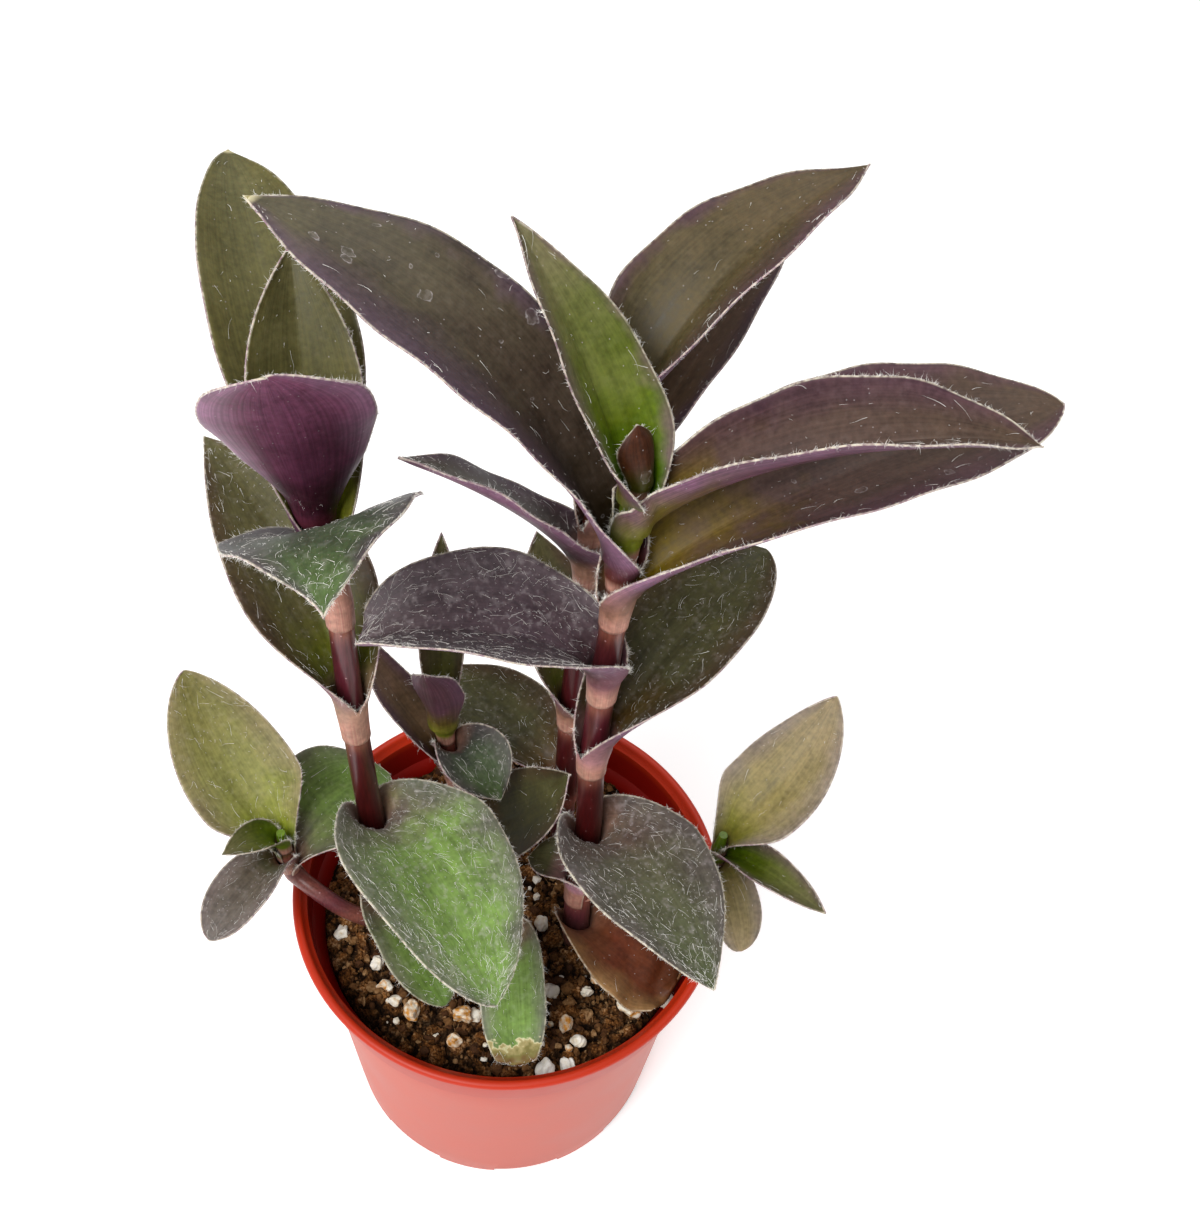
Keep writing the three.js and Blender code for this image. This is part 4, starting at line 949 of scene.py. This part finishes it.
# ---- Hairs ----
def strands(name, paths, widths):
    """Three-sided hairs along paths of points, an array of hair, point and place in mm."""
    count, length, _ = paths.shape
    along = unit(np.gradient(paths, axis=1))
    first = unit(np.cross(along, np.array(HAIR_SKEW)))
    second = np.cross(along, first)
    taper = np.linspace(1, HAIR_END, length - 1)
    rings = []
    for k in range(3):
        turn = 2 * math.pi * k / 3
        offset = first * math.cos(turn) + second * math.sin(turn)
        radius = widths[:, None] / 2 * taper
        rings.append(paths[:, :-1] + offset[:, :-1] * radius[..., None])
    body = np.stack(rings, 2).reshape(count, -1, 3)
    points = np.concatenate([body, paths[:, -1:]], 1)
    faces = [[0, 2, 1]]
    for i in range(length - 2):
        for k in range(3):
            a, b = 3 * i + k, 3 * i + (k + 1) % 3
            faces.append([a, b, b + 3, a + 3])
    last, tip = 3 * (length - 2), 3 * (length - 1)
    faces += [[last + k, last + (k + 1) % 3, tip] for k in range(3)]
    every = [[vertex + start for vertex in face]
             for start in range(0, count * (tip + 1), tip + 1) for face in faces]
    return shells(name, points.reshape(-1, 3), every)


def surface_at(grid, row, column):
    """Points of a grid at rows and columns with fractions."""
    row = np.clip(row, 0, grid.shape[0] - 1.001)
    column = np.clip(column, 0, grid.shape[1] - 1.001)
    i, j = row.astype(int), column.astype(int)
    a, b = (row - i)[..., None], (column - j)[..., None]
    near = grid[i, j] * (1 - b) + grid[i, j + 1] * b
    far = grid[i + 1, j] * (1 - b) + grid[i + 1, j + 1] * b
    return near * (1 - a) + far * a


def margin_hairs(leaf, look, random, points, arc, normals):
    """Wool on both margins, in loose tufts, densest at the sheath's mouth."""
    groups = []
    last = points.shape[1] - 1
    for column, inner in ((0, 1), (last, last - 1)):
        length = leaf["length"]
        density = look.hair_density * leaf["fringe"]
        where = np.concatenate([random.uniform(0, length, int(length * density)),
                                np.abs(random.normal(0, MOUTH_SPREAD,
                                                     int(MOUTH_HAIRS * density)))])
        # hairs gather in tufts, 3 mm apart, and these in groups, 9 mm apart
        where = where + 0.35 * np.sin(2.1 * where + 9 * inner) + 0.8 * np.sin(0.7 * where + inner)
        where = np.clip(where, 0, length)
        row = np.interp(where, arc, np.arange(len(arc)))
        edge = np.full(len(row), column)
        root = surface_at(points, row, edge)
        outward = unit(root - surface_at(points, row, np.full(len(row), inner)))
        up = surface_at(normals, row, edge)
        forward = unit(surface_at(points, row + 0.5, edge) - surface_at(points, row - 0.5, edge))
        spread = random.normal(0, 1, (len(row), 2))
        direction = unit(outward * 0.45 + up * 0.5 * spread[:, :1]
                         + forward * (0.7 * spread[:, 1:] + 0.35))
        bend = unit(random.normal(0, 1, (len(row), 3)) + outward * 0.3)
        longest = look.hair_length / MM
        size = longest * (0.22 + 0.78 * random.uniform(0, 1, len(row)) ** 4)
        root = root - outward * random.uniform(0.05, 0.3, (len(row), 1))
        share = np.linspace(0, 1, 4)[None, :, None]
        reach = size[:, None, None]
        groups.append(root[:, None] + direction[:, None] * reach * share
                      + bend[:, None] * reach * 0.5 * share ** 2)
    return np.concatenate(groups)


def cobweb_hairs(leaf, look, random, points, arc, width, normals):
    """Hairs lying over the upper face, most short and near the veins' course, a few long."""
    rows, columns = points.shape[:2]
    area = leaf["length"] * leaf["width"] * 0.7
    count = max(6, int(area * look.cobweb_density * leaf["wool"]))
    where = random.uniform(COBWEB_START, leaf["length"] * 0.97, count)
    half = np.interp(where, arc, width)
    # hairs stand closer together towards the margins
    t = np.sign(random.uniform(-1, 1, count)) * random.uniform(0, 1, count) ** 0.75 * 0.96
    angle = random.normal(0, 0.55, count) + math.pi * (random.uniform(0, 1, count) < 0.5)
    curl = random.normal(0, 0.22, count)
    shortest, more = COBWEB_REACH
    reach = shortest + more * random.uniform(0, 1, count) ** 4
    curl = curl / (0.6 + 0.5 * reach)
    path = []
    for step in range(5):
        row = np.interp(np.clip(where, 0, leaf["length"]), arc, np.arange(rows))
        column = (1 - np.clip(t, -0.98, 0.98)) / 2 * (columns - 1)
        lift = LEAF_THICKNESS / 2 + 0.04 + 0.16 * math.sin(math.pi * step / 4)
        path.append(surface_at(points, row, column) + surface_at(normals, row, column) * lift)
        where = where + np.cos(angle) * reach / 4
        t = t + np.sin(angle) * reach / 4 / np.maximum(half, 2)
        angle = angle + curl + random.normal(0, 0.18, count)
    return np.stack(path, 1)


def make_wool(leaf, look, points, arc, width, material):
    """The hairs of one leaf, as two pieces: its margins' fringe and the cobweb on its face."""
    random = np.random.default_rng(sum(map(ord, leaf["name"])))
    normals = grid_normals(points)
    fringe = margin_hairs(leaf, look, random, points, arc, normals)
    cobweb = cobweb_hairs(leaf, look, random, points, arc, width, normals)
    for part, paths in (("fringe", fringe), ("cobweb", cobweb)):
        widths = look.hair_width / MM * random.uniform(0.6, 1.15, len(paths))
        piece = strands(f"{leaf['name']}_{part}", paths, widths)
        piece.data.materials.append(material)
        place(piece, leaf["slot"])


# ---- Operators ----
class PLANT_OT_pot(bpy.types.Operator):
    """Turn the red nursery pot ring by ring and cut the notches in its foot"""

    bl_idname = "plant.pot"
    bl_label = "Pot"

    def profile(self):
        """Rings from the edge of the underside, up the outside, over the lip and down inside."""
        collar = COLLAR_RADIUS - WALL
        slant = (BODY_TOP_RADIUS - BASE_RADIUS) / COLLAR_BOTTOM
        rings = [(BASE_RADIUS + beside, height) for beside, height in FOOT_EDGE]
        rings += [(BASE_RADIUS + slant * z, z)
                  for z in range(WALL_RING_STEP, COLLAR_BOTTOM, WALL_RING_STEP)]
        # the step under the collar, its corners eased by a few tenths of a millimetre
        step_foot = COLLAR_RADIUS - COLLAR_TAPER
        rings += [(BODY_TOP_RADIUS - 0.05, COLLAR_BOTTOM - 0.6),
                  (BODY_TOP_RADIUS + 0.4, COLLAR_BOTTOM),
                  (step_foot - 0.3, COLLAR_BOTTOM + COLLAR_STEP - 0.3),
                  (step_foot, COLLAR_BOTTOM + COLLAR_STEP + 0.6),
                  (COLLAR_RADIUS, RIM_HEIGHT - LIP_HEIGHT)]
        middle = RIM_RADIUS - LIP_WIDTH / 2
        first, last = LIP_SWEEP
        for step in range(LIP_STEPS + 1):
            angle = math.radians(first + (last - first) * step / LIP_STEPS)
            rings.append((middle + LIP_WIDTH / 2 * math.cos(angle),
                          RIM_HEIGHT - LIP_HEIGHT / 2 + LIP_HEIGHT / 2 * math.sin(angle)))
        rings += [(collar, RIM_HEIGHT - LIP_HEIGHT),
                  (collar - COLLAR_TAPER, COLLAR_BOTTOM + COLLAR_STEP + WALL),
                  (BODY_TOP_RADIUS - WALL, COLLAR_BOTTOM), (BASE_RADIUS - WALL, FLOOR)]
        return rings

    def execute(self, context):
        look = context.scene.pot_look
        rings = self.profile()
        deselect()
        bpy.ops.mesh.primitive_circle_add(vertices=look.sides, radius=rings[0][0] * MM,
                                          fill_type="NGON")
        piece = context.object
        piece.name = "nursery_pot"
        bpy.ops.object.mode_set(mode="EDIT")
        bpy.ops.mesh.select_all(action="SELECT")
        for (radius, height), (wider, higher) in zip(rings, rings[1:]):
            bpy.ops.mesh.extrude_region_move(
                TRANSFORM_OT_translate={"value": (0, 0, (higher - height) * MM)})
            bpy.ops.transform.resize(value=(wider / radius, wider / radius, 1),
                                     center_override=(0, 0, higher * MM))
        bpy.ops.mesh.select_all(action="SELECT")
        bpy.ops.mesh.normals_make_consistent(inside=False)
        bpy.ops.object.mode_set(mode="OBJECT")
        self.cut_notches(piece)
        deselect()
        piece.select_set(True)
        context.view_layer.objects.active = piece
        bpy.ops.object.shade_smooth_by_angle(angle=math.radians(POT_SHARP_ANGLE))
        towards_axis = [face.normal.xy.dot(face.center.xy) < 0 for face in piece.data.polygons]
        store(piece, "inner", "FACE", towards_axis)
        piece.data.materials.append(pot_finish(look))
        place(piece, "red_plastic", "pot")
        return {"FINISHED"}

    def cut_notches(self, piece):
        """Cuts the drain notches through the pot's foot, each with a cube."""
        cutters = []
        for i in range(NOTCH_COUNT):
            angle = math.radians(NOTCH_FIRST_ANGLE + i * 360 / NOTCH_COUNT)
            deselect()
            bpy.ops.mesh.primitive_cube_add(
                size=1, location=(BASE_RADIUS * MM * math.cos(angle),
                                  BASE_RADIUS * MM * math.sin(angle), 0),
                rotation=(0, 0, angle),
                scale=(2 * NOTCH_DEPTH * MM, NOTCH_WIDTH * MM, 2 * NOTCH_HEIGHT * MM))
            cutters.append(bpy.context.object)
        for cutter in cutters:
            apply_modifier(piece, "BOOLEAN", object=cutter, operation="DIFFERENCE",
                           solver="EXACT")
            bpy.data.objects.remove(cutter)


def soil_height(x, y):
    """Height of the soil's surface in mm, as its solid's."""
    swell = (np.cos(2 * math.pi * x / SWELL_LENGTHS[0])
             * np.cos(2 * math.pi * y / SWELL_LENGTHS[1]))
    ripple = np.sin(2 * math.pi * (y / RIPPLE_LENGTHS[1] - x / RIPPLE_LENGTHS[0]))
    return SOIL_LEVEL + SOIL_RELIEF * (swell + RIPPLE_SHARE * ripple)


def wall_radius(height):
    """Radius of the pot's inner wall at a height, in mm."""
    slant = (BODY_TOP_RADIUS - BASE_RADIUS) / COLLAR_BOTTOM
    return BASE_RADIUS + slant * height - WALL


class PLANT_OT_soil(bpy.types.Operator):
    """Lay the soil: a round grid raised in lumps and grit, its edge drawn down to the floor"""

    bl_idname = "plant.soil"
    bl_label = "Soil"

    def execute(self, context):
        edge = wall_radius(COLLAR_BOTTOM) - GAP
        deselect()
        bpy.ops.mesh.primitive_grid_add(x_subdivisions=SOIL_CELLS, y_subdivisions=SOIL_CELLS,
                                        size=2)
        piece = context.object
        piece.name = "potting_soil"
        mesh = piece.data
        flat = np.empty(len(mesh.vertices) * 3)
        mesh.vertices.foreach_get("co", flat)
        x, y, _ = flat.reshape(-1, 3).T
        disc_x, disc_y = x * np.sqrt(1 - y * y / 2) * edge, y * np.sqrt(1 - x * x / 2) * edge
        inside = np.clip((edge - np.hypot(disc_x, disc_y)) / EDGE_MARGIN, 0, 1)
        low = COLLAR_BOTTOM + 1
        height = low + (soil_height(disc_x, disc_y) - low) * np.sqrt(inside)
        mesh.vertices.foreach_set("co", (np.stack([disc_x, disc_y, height], -1) * MM).ravel())
        smooth = height.copy()
        # lumps of peat a few millimetres across, then grit on them
        for name, size, rise in LUMPS:
            texture = bpy.data.textures.new(name, "CLOUDS")
            texture.noise_scale = size * MM
            texture.noise_depth = 2
            texture.noise_type = "HARD_NOISE"
            apply_modifier(piece, "DISPLACE", texture=texture, strength=rise * MM,
                           mid_level=0.4, texture_coords="LOCAL", direction="Z")
        rough = np.empty(len(mesh.vertices) * 3)
        mesh.vertices.foreach_get("co", rough)
        # how far each point stands above the smooth soil, for the painted shade in the gaps
        store(piece, "raised", "POINT", rough[2::3] / MM - smooth)
        bpy.ops.object.mode_set(mode="EDIT")
        bpy.ops.mesh.select_all(action="DESELECT")
        bpy.ops.mesh.select_mode(type="EDGE")
        bpy.ops.mesh.select_non_manifold()
        drop = (COLLAR_BOTTOM - FLOOR - GAP) * MM
        bpy.ops.mesh.extrude_edges_move(TRANSFORM_OT_translate={"value": (0, 0, -drop)})
        ratio = (wall_radius(FLOOR) - GAP) / edge
        bpy.ops.transform.resize(value=(ratio, ratio, 0),
                                 center_override=(0, 0, (FLOOR + GAP) * MM))
        bpy.ops.mesh.edge_face_add()
        bpy.ops.mesh.select_all(action="SELECT")
        bpy.ops.mesh.normals_make_consistent(inside=False)
        bpy.ops.object.mode_set(mode="OBJECT")
        bpy.ops.object.shade_smooth_by_angle(angle=math.radians(SOIL_SHARP_ANGLE))
        piece.data.materials.append(peat_finish())
        place(piece, "potting_soil", "soil")
        return {"FINISHED"}


# Perlite that shows from the front: x, y and radius in mm, and how golden it is stained, from
# below 0, which is chalk white, to 1.
SEEN_GRAINS = [
    (9.5, -42.3, 2.7, -0.3), (14.6, -41.6, 2.6, -0.3), (-9.3, -30.4, 2.5, 0.8),
    (-6.8, -29.8, 2, 0.2), (-21.3, -29.2, 2.2, 0.7), (-11.3, -36.7, 2.1, 0.7),
    (-25.6, -26.4, 1.8, 0.4), (-28.2, -22.5, 1.9, 0.6), (-30.3, -17.5, 1.8, 0.1),
    (-39.6, -8.8, 2, 0.1), (10.6, -23, 2.3, 0), (24.9, -20.7, 2.1, 0), (21.2, -20.5, 1.8, 0.6),
    (19, -23.8, 1.6, 0.2), (29.2, -27.4, 2.7, 0.6), (37.5, -25.5, 2.2, 0), (14.1, -32, 2, 0.7),
    (17.1, -35.5, 1.7, 0.1), (8.2, -6.2, 2, 0.2), (28.5, 21, 2.1, 0.2), (-22, 30, 2.1, 0.3),
    (24.5, 29, 1.9, 0.6),
]


def scattered(name, places, sizes, tints, detail, random, squash=0.7, knobs=0.0):
    """Rough pebbles at places in mm: one ball each, knocked flat here and there, with knobs."""
    deselect()
    bpy.ops.mesh.primitive_ico_sphere_add(subdivisions=detail, radius=1)
    ball = bpy.context.object
    points = np.array([v.co for v in ball.data.vertices])
    faces = [list(p.vertices) for p in ball.data.polygons]
    bpy.data.objects.remove(ball)
    count = len(places)
    knocks = unit(random.normal(0, 1, (count, BUMPS, 3)))
    depth = random.uniform(0.62, 1, (count, BUMPS))
    waves = random.normal(0, 3.6, (count, BUMPS, 3))
    shaped = np.repeat(points[None], count, 0)
    for k in range(BUMPS):
        beyond = np.einsum("cpd,cd->cp", shaped, knocks[:, k]) - depth[:, k, None]
        shaped -= np.maximum(beyond, 0)[..., None] * knocks[:, k, None]
    swell = sum(np.sin(np.einsum("pd,cd->cp", points, waves[:, k]) + k) for k in range(BUMPS))
    shaped *= 1 + knobs * swell[..., None]
    stretch = random.uniform(squash, 1.15, (count, 1, 3))
    shaped = shaped * stretch * sizes[:, None, None] + places[:, None]
    every = [[v + start for v in face]
             for start in range(0, count * len(points), len(points)) for face in faces]
    piece = shells(name, shaped.reshape(-1, 3), every)
    store(piece, "tint", "FACE", np.repeat(tints, len(faces)))
    return piece


class PLANT_OT_topsoil(bpy.types.Operator):
    """Strew crumbs of peat, perlite grains and fibres over the soil"""

    bl_idname = "plant.topsoil"
    bl_label = "Crumbs, perlite and fibres"

    def settle(self, x, y, lift):
        """Places on the modelled soil, each lifted by so many mm."""
        soil = bpy.data.objects["potting_soil"]
        places = []
        for px, py, rise in zip(x, y, lift):
            hit, spot, _, _ = soil.ray_cast(Vector((px, py, 2 * RIM_HEIGHT)) * MM, (0, 0, -1))
            places.append((px, py, (spot.z / MM if hit else SOIL_LEVEL) + rise))
        return np.array(places)

    def spread(self, count, random, margin):
        """Even places on the soil's round, so many mm inside the wall."""
        radius = (wall_radius(COLLAR_BOTTOM) - margin) * np.sqrt(random.uniform(0, 1, count))
        angle = random.uniform(0, 2 * math.pi, count)
        return radius * np.cos(angle), radius * np.sin(angle)

    def execute(self, context):
        look = context.scene.soil_look
        random = np.random.default_rng(TOPSOIL_SEED)
        smallest, more = CRUMB_RADII
        sizes = smallest + more * random.uniform(0, 1, look.crumbs) ** 3
        x, y = self.spread(look.crumbs, random, 2)
        crumbs = scattered("peat_crumbs", self.settle(x, y, sizes * CRUMB_LIFT), sizes,
                           random.uniform(0, 0.55, look.crumbs), 2, random, squash=0.5,
                           knobs=0.09)
        # Composted bark and peat lumps, from near black to reddish brown.
        crumbs.data.materials.append(crumb_finish("composted_bark", [
            (0.15, "#241004"), (0.95, "#b8946a"), (0.4, "#4e2e12"), (0.66, "#74502a")], 0.85))
        place(crumbs, "potting_soil")
        # Expanded perlite: chalk white and pitted, some grains stained gold by the peat.
        perlite = crumb_finish("expanded_perlite", [
            (0.3, "#fbf8f0"), (1, "#a8641e"), (0.6, "#ece2cc"), (0.8, "#cc8c38")], 0.85,
            patchy=0.9, grain=0.8)
        seen = np.array(SEEN_GRAINS)
        grains = scattered("perlite_grains",
                           self.settle(seen[:, 0], seen[:, 1], GRAIN_LIFT * seen[:, 2]),
                           seen[:, 2], 0.35 * seen[:, 3], 4, random, knobs=0.05)
        small_sizes = random.uniform(*SMALL_GRAIN_RADII, look.grains)
        x, y = self.spread(look.grains, random, 3)
        small = scattered("perlite_crumbs", self.settle(x, y, GRAIN_LIFT * small_sizes),
                          small_sizes, 0.4 * random.uniform(0, 1, look.grains) ** 2, 1, random,
                          knobs=0.05)
        for piece in (grains, small):
            piece.data.materials.append(perlite)
            place(piece, "potting_soil")
        self.lay_fibres(look, random)
        return {"FINISHED"}

    def lay_fibres(self, look, random):
        """Short bent threads that lie on the soil."""
        x, y = self.spread(look.fibres, random, 6)
        angle = random.uniform(0, 2 * math.pi, look.fibres)
        step = random.uniform(*FIBRE_STEPS, look.fibres)
        path = []
        for _ in range(FIBRE_POINTS):
            path.append(self.settle(x, y, np.full(look.fibres, FIBRE_LIFT)))
            x, y = x + np.cos(angle) * step, y + np.sin(angle) * step
            angle = angle + random.normal(0, 0.4, look.fibres)
        piece = strands("coir_fibres", np.stack(path, 1),
                        random.uniform(*FIBRE_WIDTHS, look.fibres))
        store(piece, "tint", "POINT", np.full(len(piece.data.vertices), 0.3))
        # Coir and dead roots: tan, matt threads.
        piece.data.materials.append(crumb_finish("coir_fibre", [
            (0.2, "#4a3018"), (0.9, "#b08a5e")], 0.8))
        place(piece, "potting_soil")


class PLANT_OT_stems(bpy.types.Operator):
    """Grow the stems and runners as round bars that swell at each node"""

    bl_idname = "plant.stems"
    bl_label = "Stems"

    def path(self, stem):
        """The stem's line in short steps, its corners eased, with its radius."""
        line = np.array(STEMS[stem], float)
        run = np.concatenate([[0], np.cumsum(np.linalg.norm(np.diff(line[:, :3], axis=0), axis=1))])
        even = np.linspace(0, run[-1], int(run[-1] / STEM_ROW) + 1)
        fine = np.stack([np.interp(even, run, line[:, k]) for k in range(4)], -1)
        for _ in range(EASINGS):
            fine[1:-1] = (fine[:-2] + 2 * fine[1:-1] + fine[2:]) / 4
        # the stem swells where each sheath grows from it
        for leaf in LEAVES:
            if leaf["stem"] == stem:
                below = leaf["node"] - leaf["sheath"]
                fine[:, 3] *= 1 + NODE_SWELL * np.exp(-(((fine[:, 2] - below) / NODE_HEIGHT) ** 2))
        return fine

    def draw_bars(self, context, name, members):
        """The stems of one piece as a round curve, turned into a mesh."""
        curve = bpy.data.curves.new(name, "CURVE")
        curve.dimensions = "3D"
        curve.bevel_depth = MM
        curve.bevel_resolution = 6
        curve.use_fill_caps = True
        for member in members:
            fine = self.path(member)
            spline = curve.splines.new("POLY")
            spline.points.add(len(fine) - 1)
            for point, (x, y, z, radius) in zip(spline.points, fine):
                point.co = (x * MM, y * MM, z * MM, 1)
                point.radius = radius
        piece = bpy.data.objects.new(f"{name}_skin", curve)
        context.scene.collection.objects.link(piece)
        deselect()
        piece.select_set(True)
        context.view_layer.objects.active = piece
        bpy.ops.object.convert(target="MESH")
        return context.object

    def mark_nodes(self, piece, members):
        """Keeps how near each point is to a stem's young end and to a node."""
        spots = np.array([v.co for v in piece.data.vertices]) / MM
        ends = np.array([STEMS[member][-1][:3] for member in members])
        from_end = np.linalg.norm(spots[:, None] - ends, axis=-1).min(1)
        start, full = GREEN_END
        store(piece, "near_tip", "POINT", smoothstep(-from_end, -start, -full))
        heights = spots[:, 2]
        near = np.zeros(len(heights))
        for leaf in LEAVES:
            if leaf["stem"] in members:
                gap = (heights - leaf["node"] + leaf["sheath"]) / PALE_HEIGHT
                near = np.maximum(near, PALE_SHARE * np.exp(-gap * gap))
        store(piece, "near_node", "POINT", near)

    def execute(self, context):
        material = stem_finish()
        for name, members in STEM_PIECES.items():
            piece = self.draw_bars(context, name, members)
            self.mark_nodes(piece, members)
            bpy.ops.object.shade_smooth()
            piece.data.materials.append(material)
            place(piece, "maroon_stem", name)
        return {"FINISHED"}


class PLANT_OT_leaves(bpy.types.Operator):
    """Shape the leaves of one stem, each in one piece with its sheath, and give them their wool"""

    bl_idname = "plant.leaves"
    bl_label = "Leaves"
    stem: StringProperty(name="Stem", description="Stem whose leaves are made", default="main")

    def execute(self, context):
        look = context.scene.leaf_look
        wool = bpy.data.materials.get("cobweb_wool") or wool_finish(look)
        for leaf in LEAVES:
            if leaf["stem"] == self.stem:
                points, arc, width = make_leaf(leaf, look)
                make_wool(leaf, look, points, arc, width, wool)
        return {"FINISHED"}


class PLANT_OT_stage(bpy.types.Operator):
    """Set the pale floor, the soft light and the camera"""

    bl_idname = "plant.stage"
    bl_label = "Stage"

    def soft_box(self, name, location, size, power):
        """A square area light that shines on the plant."""
        light = bpy.data.lights.new(name, "AREA")
        light.size = size
        light.energy = power
        box = bpy.data.objects.new(name, light)
        box.location = location
        aim = Vector(LIGHT_AIM) - Vector(location)
        box.rotation_euler = aim.to_track_quat("-Z", "Y").to_euler()
        bpy.context.scene.collection.objects.link(box)

    def execute(self, context):
        look = context.scene.stage_look
        scene = context.scene
        deselect()
        bpy.ops.mesh.primitive_plane_add(size=FLOOR_SIZE)
        floor = context.object
        floor.name = "floor"
        # Matt white board with a glow of its own, so that it burns out to white all over.
        material, tree, shader, mm = finish("lit_white_board", Roughness=0.9,
                                            Emission_Color=(1, 1, 1, 1), Emission_Strength=0.3)
        dust = node(tree, "ShaderNodeTexNoise", {"Vector": mm, "Scale": 0.004})
        colour = node(tree, "ShaderNodeMixRGB", {0: dust, 1: look.floor_colour,
                                                 2: linear("#fbfbfa")})
        tree.links.new(colour.outputs[0], shader.inputs["Base Color"])
        floor.data.materials.append(material)
        for name, power in (("key", look.key_power), ("top", look.top_power)):
            self.soft_box(name, *SOFT_BOXES[name], power)
        world = bpy.data.worlds.new("studio")
        world.use_nodes = True
        sky = world.node_tree.nodes["Background"]
        sky.inputs["Color"].default_value = (1, 1, 1, 1)
        sky.inputs["Strength"].default_value = look.sky
        scene.world = world
        scene.view_settings.view_transform = "Standard"
        camera = bpy.data.objects.new("camera", bpy.data.cameras.new("camera"))
        camera.data.lens = look.lens
        camera.data.clip_start = 0.01
        turn, tilt, roll = look.camera_angles
        camera.matrix_world = (Matrix.Translation(look.camera_place) @ Matrix.Rotation(turn, 4, "Z")
                               @ Matrix.Rotation(math.pi / 2 - tilt, 4, "X")
                               @ Matrix.Rotation(roll, 4, "Z"))
        scene.collection.objects.link(camera)
        scene.camera = camera
        return {"FINISHED"}


class PLANT_PT_panel(bpy.types.Panel):
    """Lists the plant's pieces in the sidebar"""

    bl_idname = "PLANT_PT_panel"
    bl_label = "Potted tradescantia"
    bl_space_type = "VIEW_3D"
    bl_region_type = "UI"
    bl_category = "Tradescantia"

    def draw(self, context):
        for operator in OPERATORS:
            self.layout.operator(operator.bl_idname)
        for group in LOOKS:
            look = getattr(context.scene, group)
            for name in look.bl_rna.properties.keys():
                if name not in ("rna_type", "name"):
                    self.layout.prop(look, name)


LOOKS = {"pot_look": PotLook, "soil_look": SoilLook, "leaf_look": LeafLook,
         "stage_look": StageLook}
OPERATORS = [PLANT_OT_pot, PLANT_OT_soil, PLANT_OT_topsoil, PLANT_OT_stems, PLANT_OT_leaves,
             PLANT_OT_stage]


def register():
    for part in [*LOOKS.values(), *OPERATORS, PLANT_PT_panel]:
        bpy.utils.register_class(part)
    for name, group in LOOKS.items():
        setattr(bpy.types.Scene, name, PointerProperty(type=group))


def unregister():
    for name in LOOKS:
        delattr(bpy.types.Scene, name)
    for part in [PLANT_PT_panel, *reversed(OPERATORS), *reversed(LOOKS.values())]:
        bpy.utils.unregister_class(part)


def main():
    register()
    bpy.ops.plant.pot()
    bpy.ops.plant.soil()
    bpy.ops.plant.topsoil()
    bpy.ops.plant.stems()
    for stem in STEMS:
        bpy.ops.plant.leaves(stem=stem)
    bpy.ops.plant.stage()


if __name__ == "__main__":
    main()
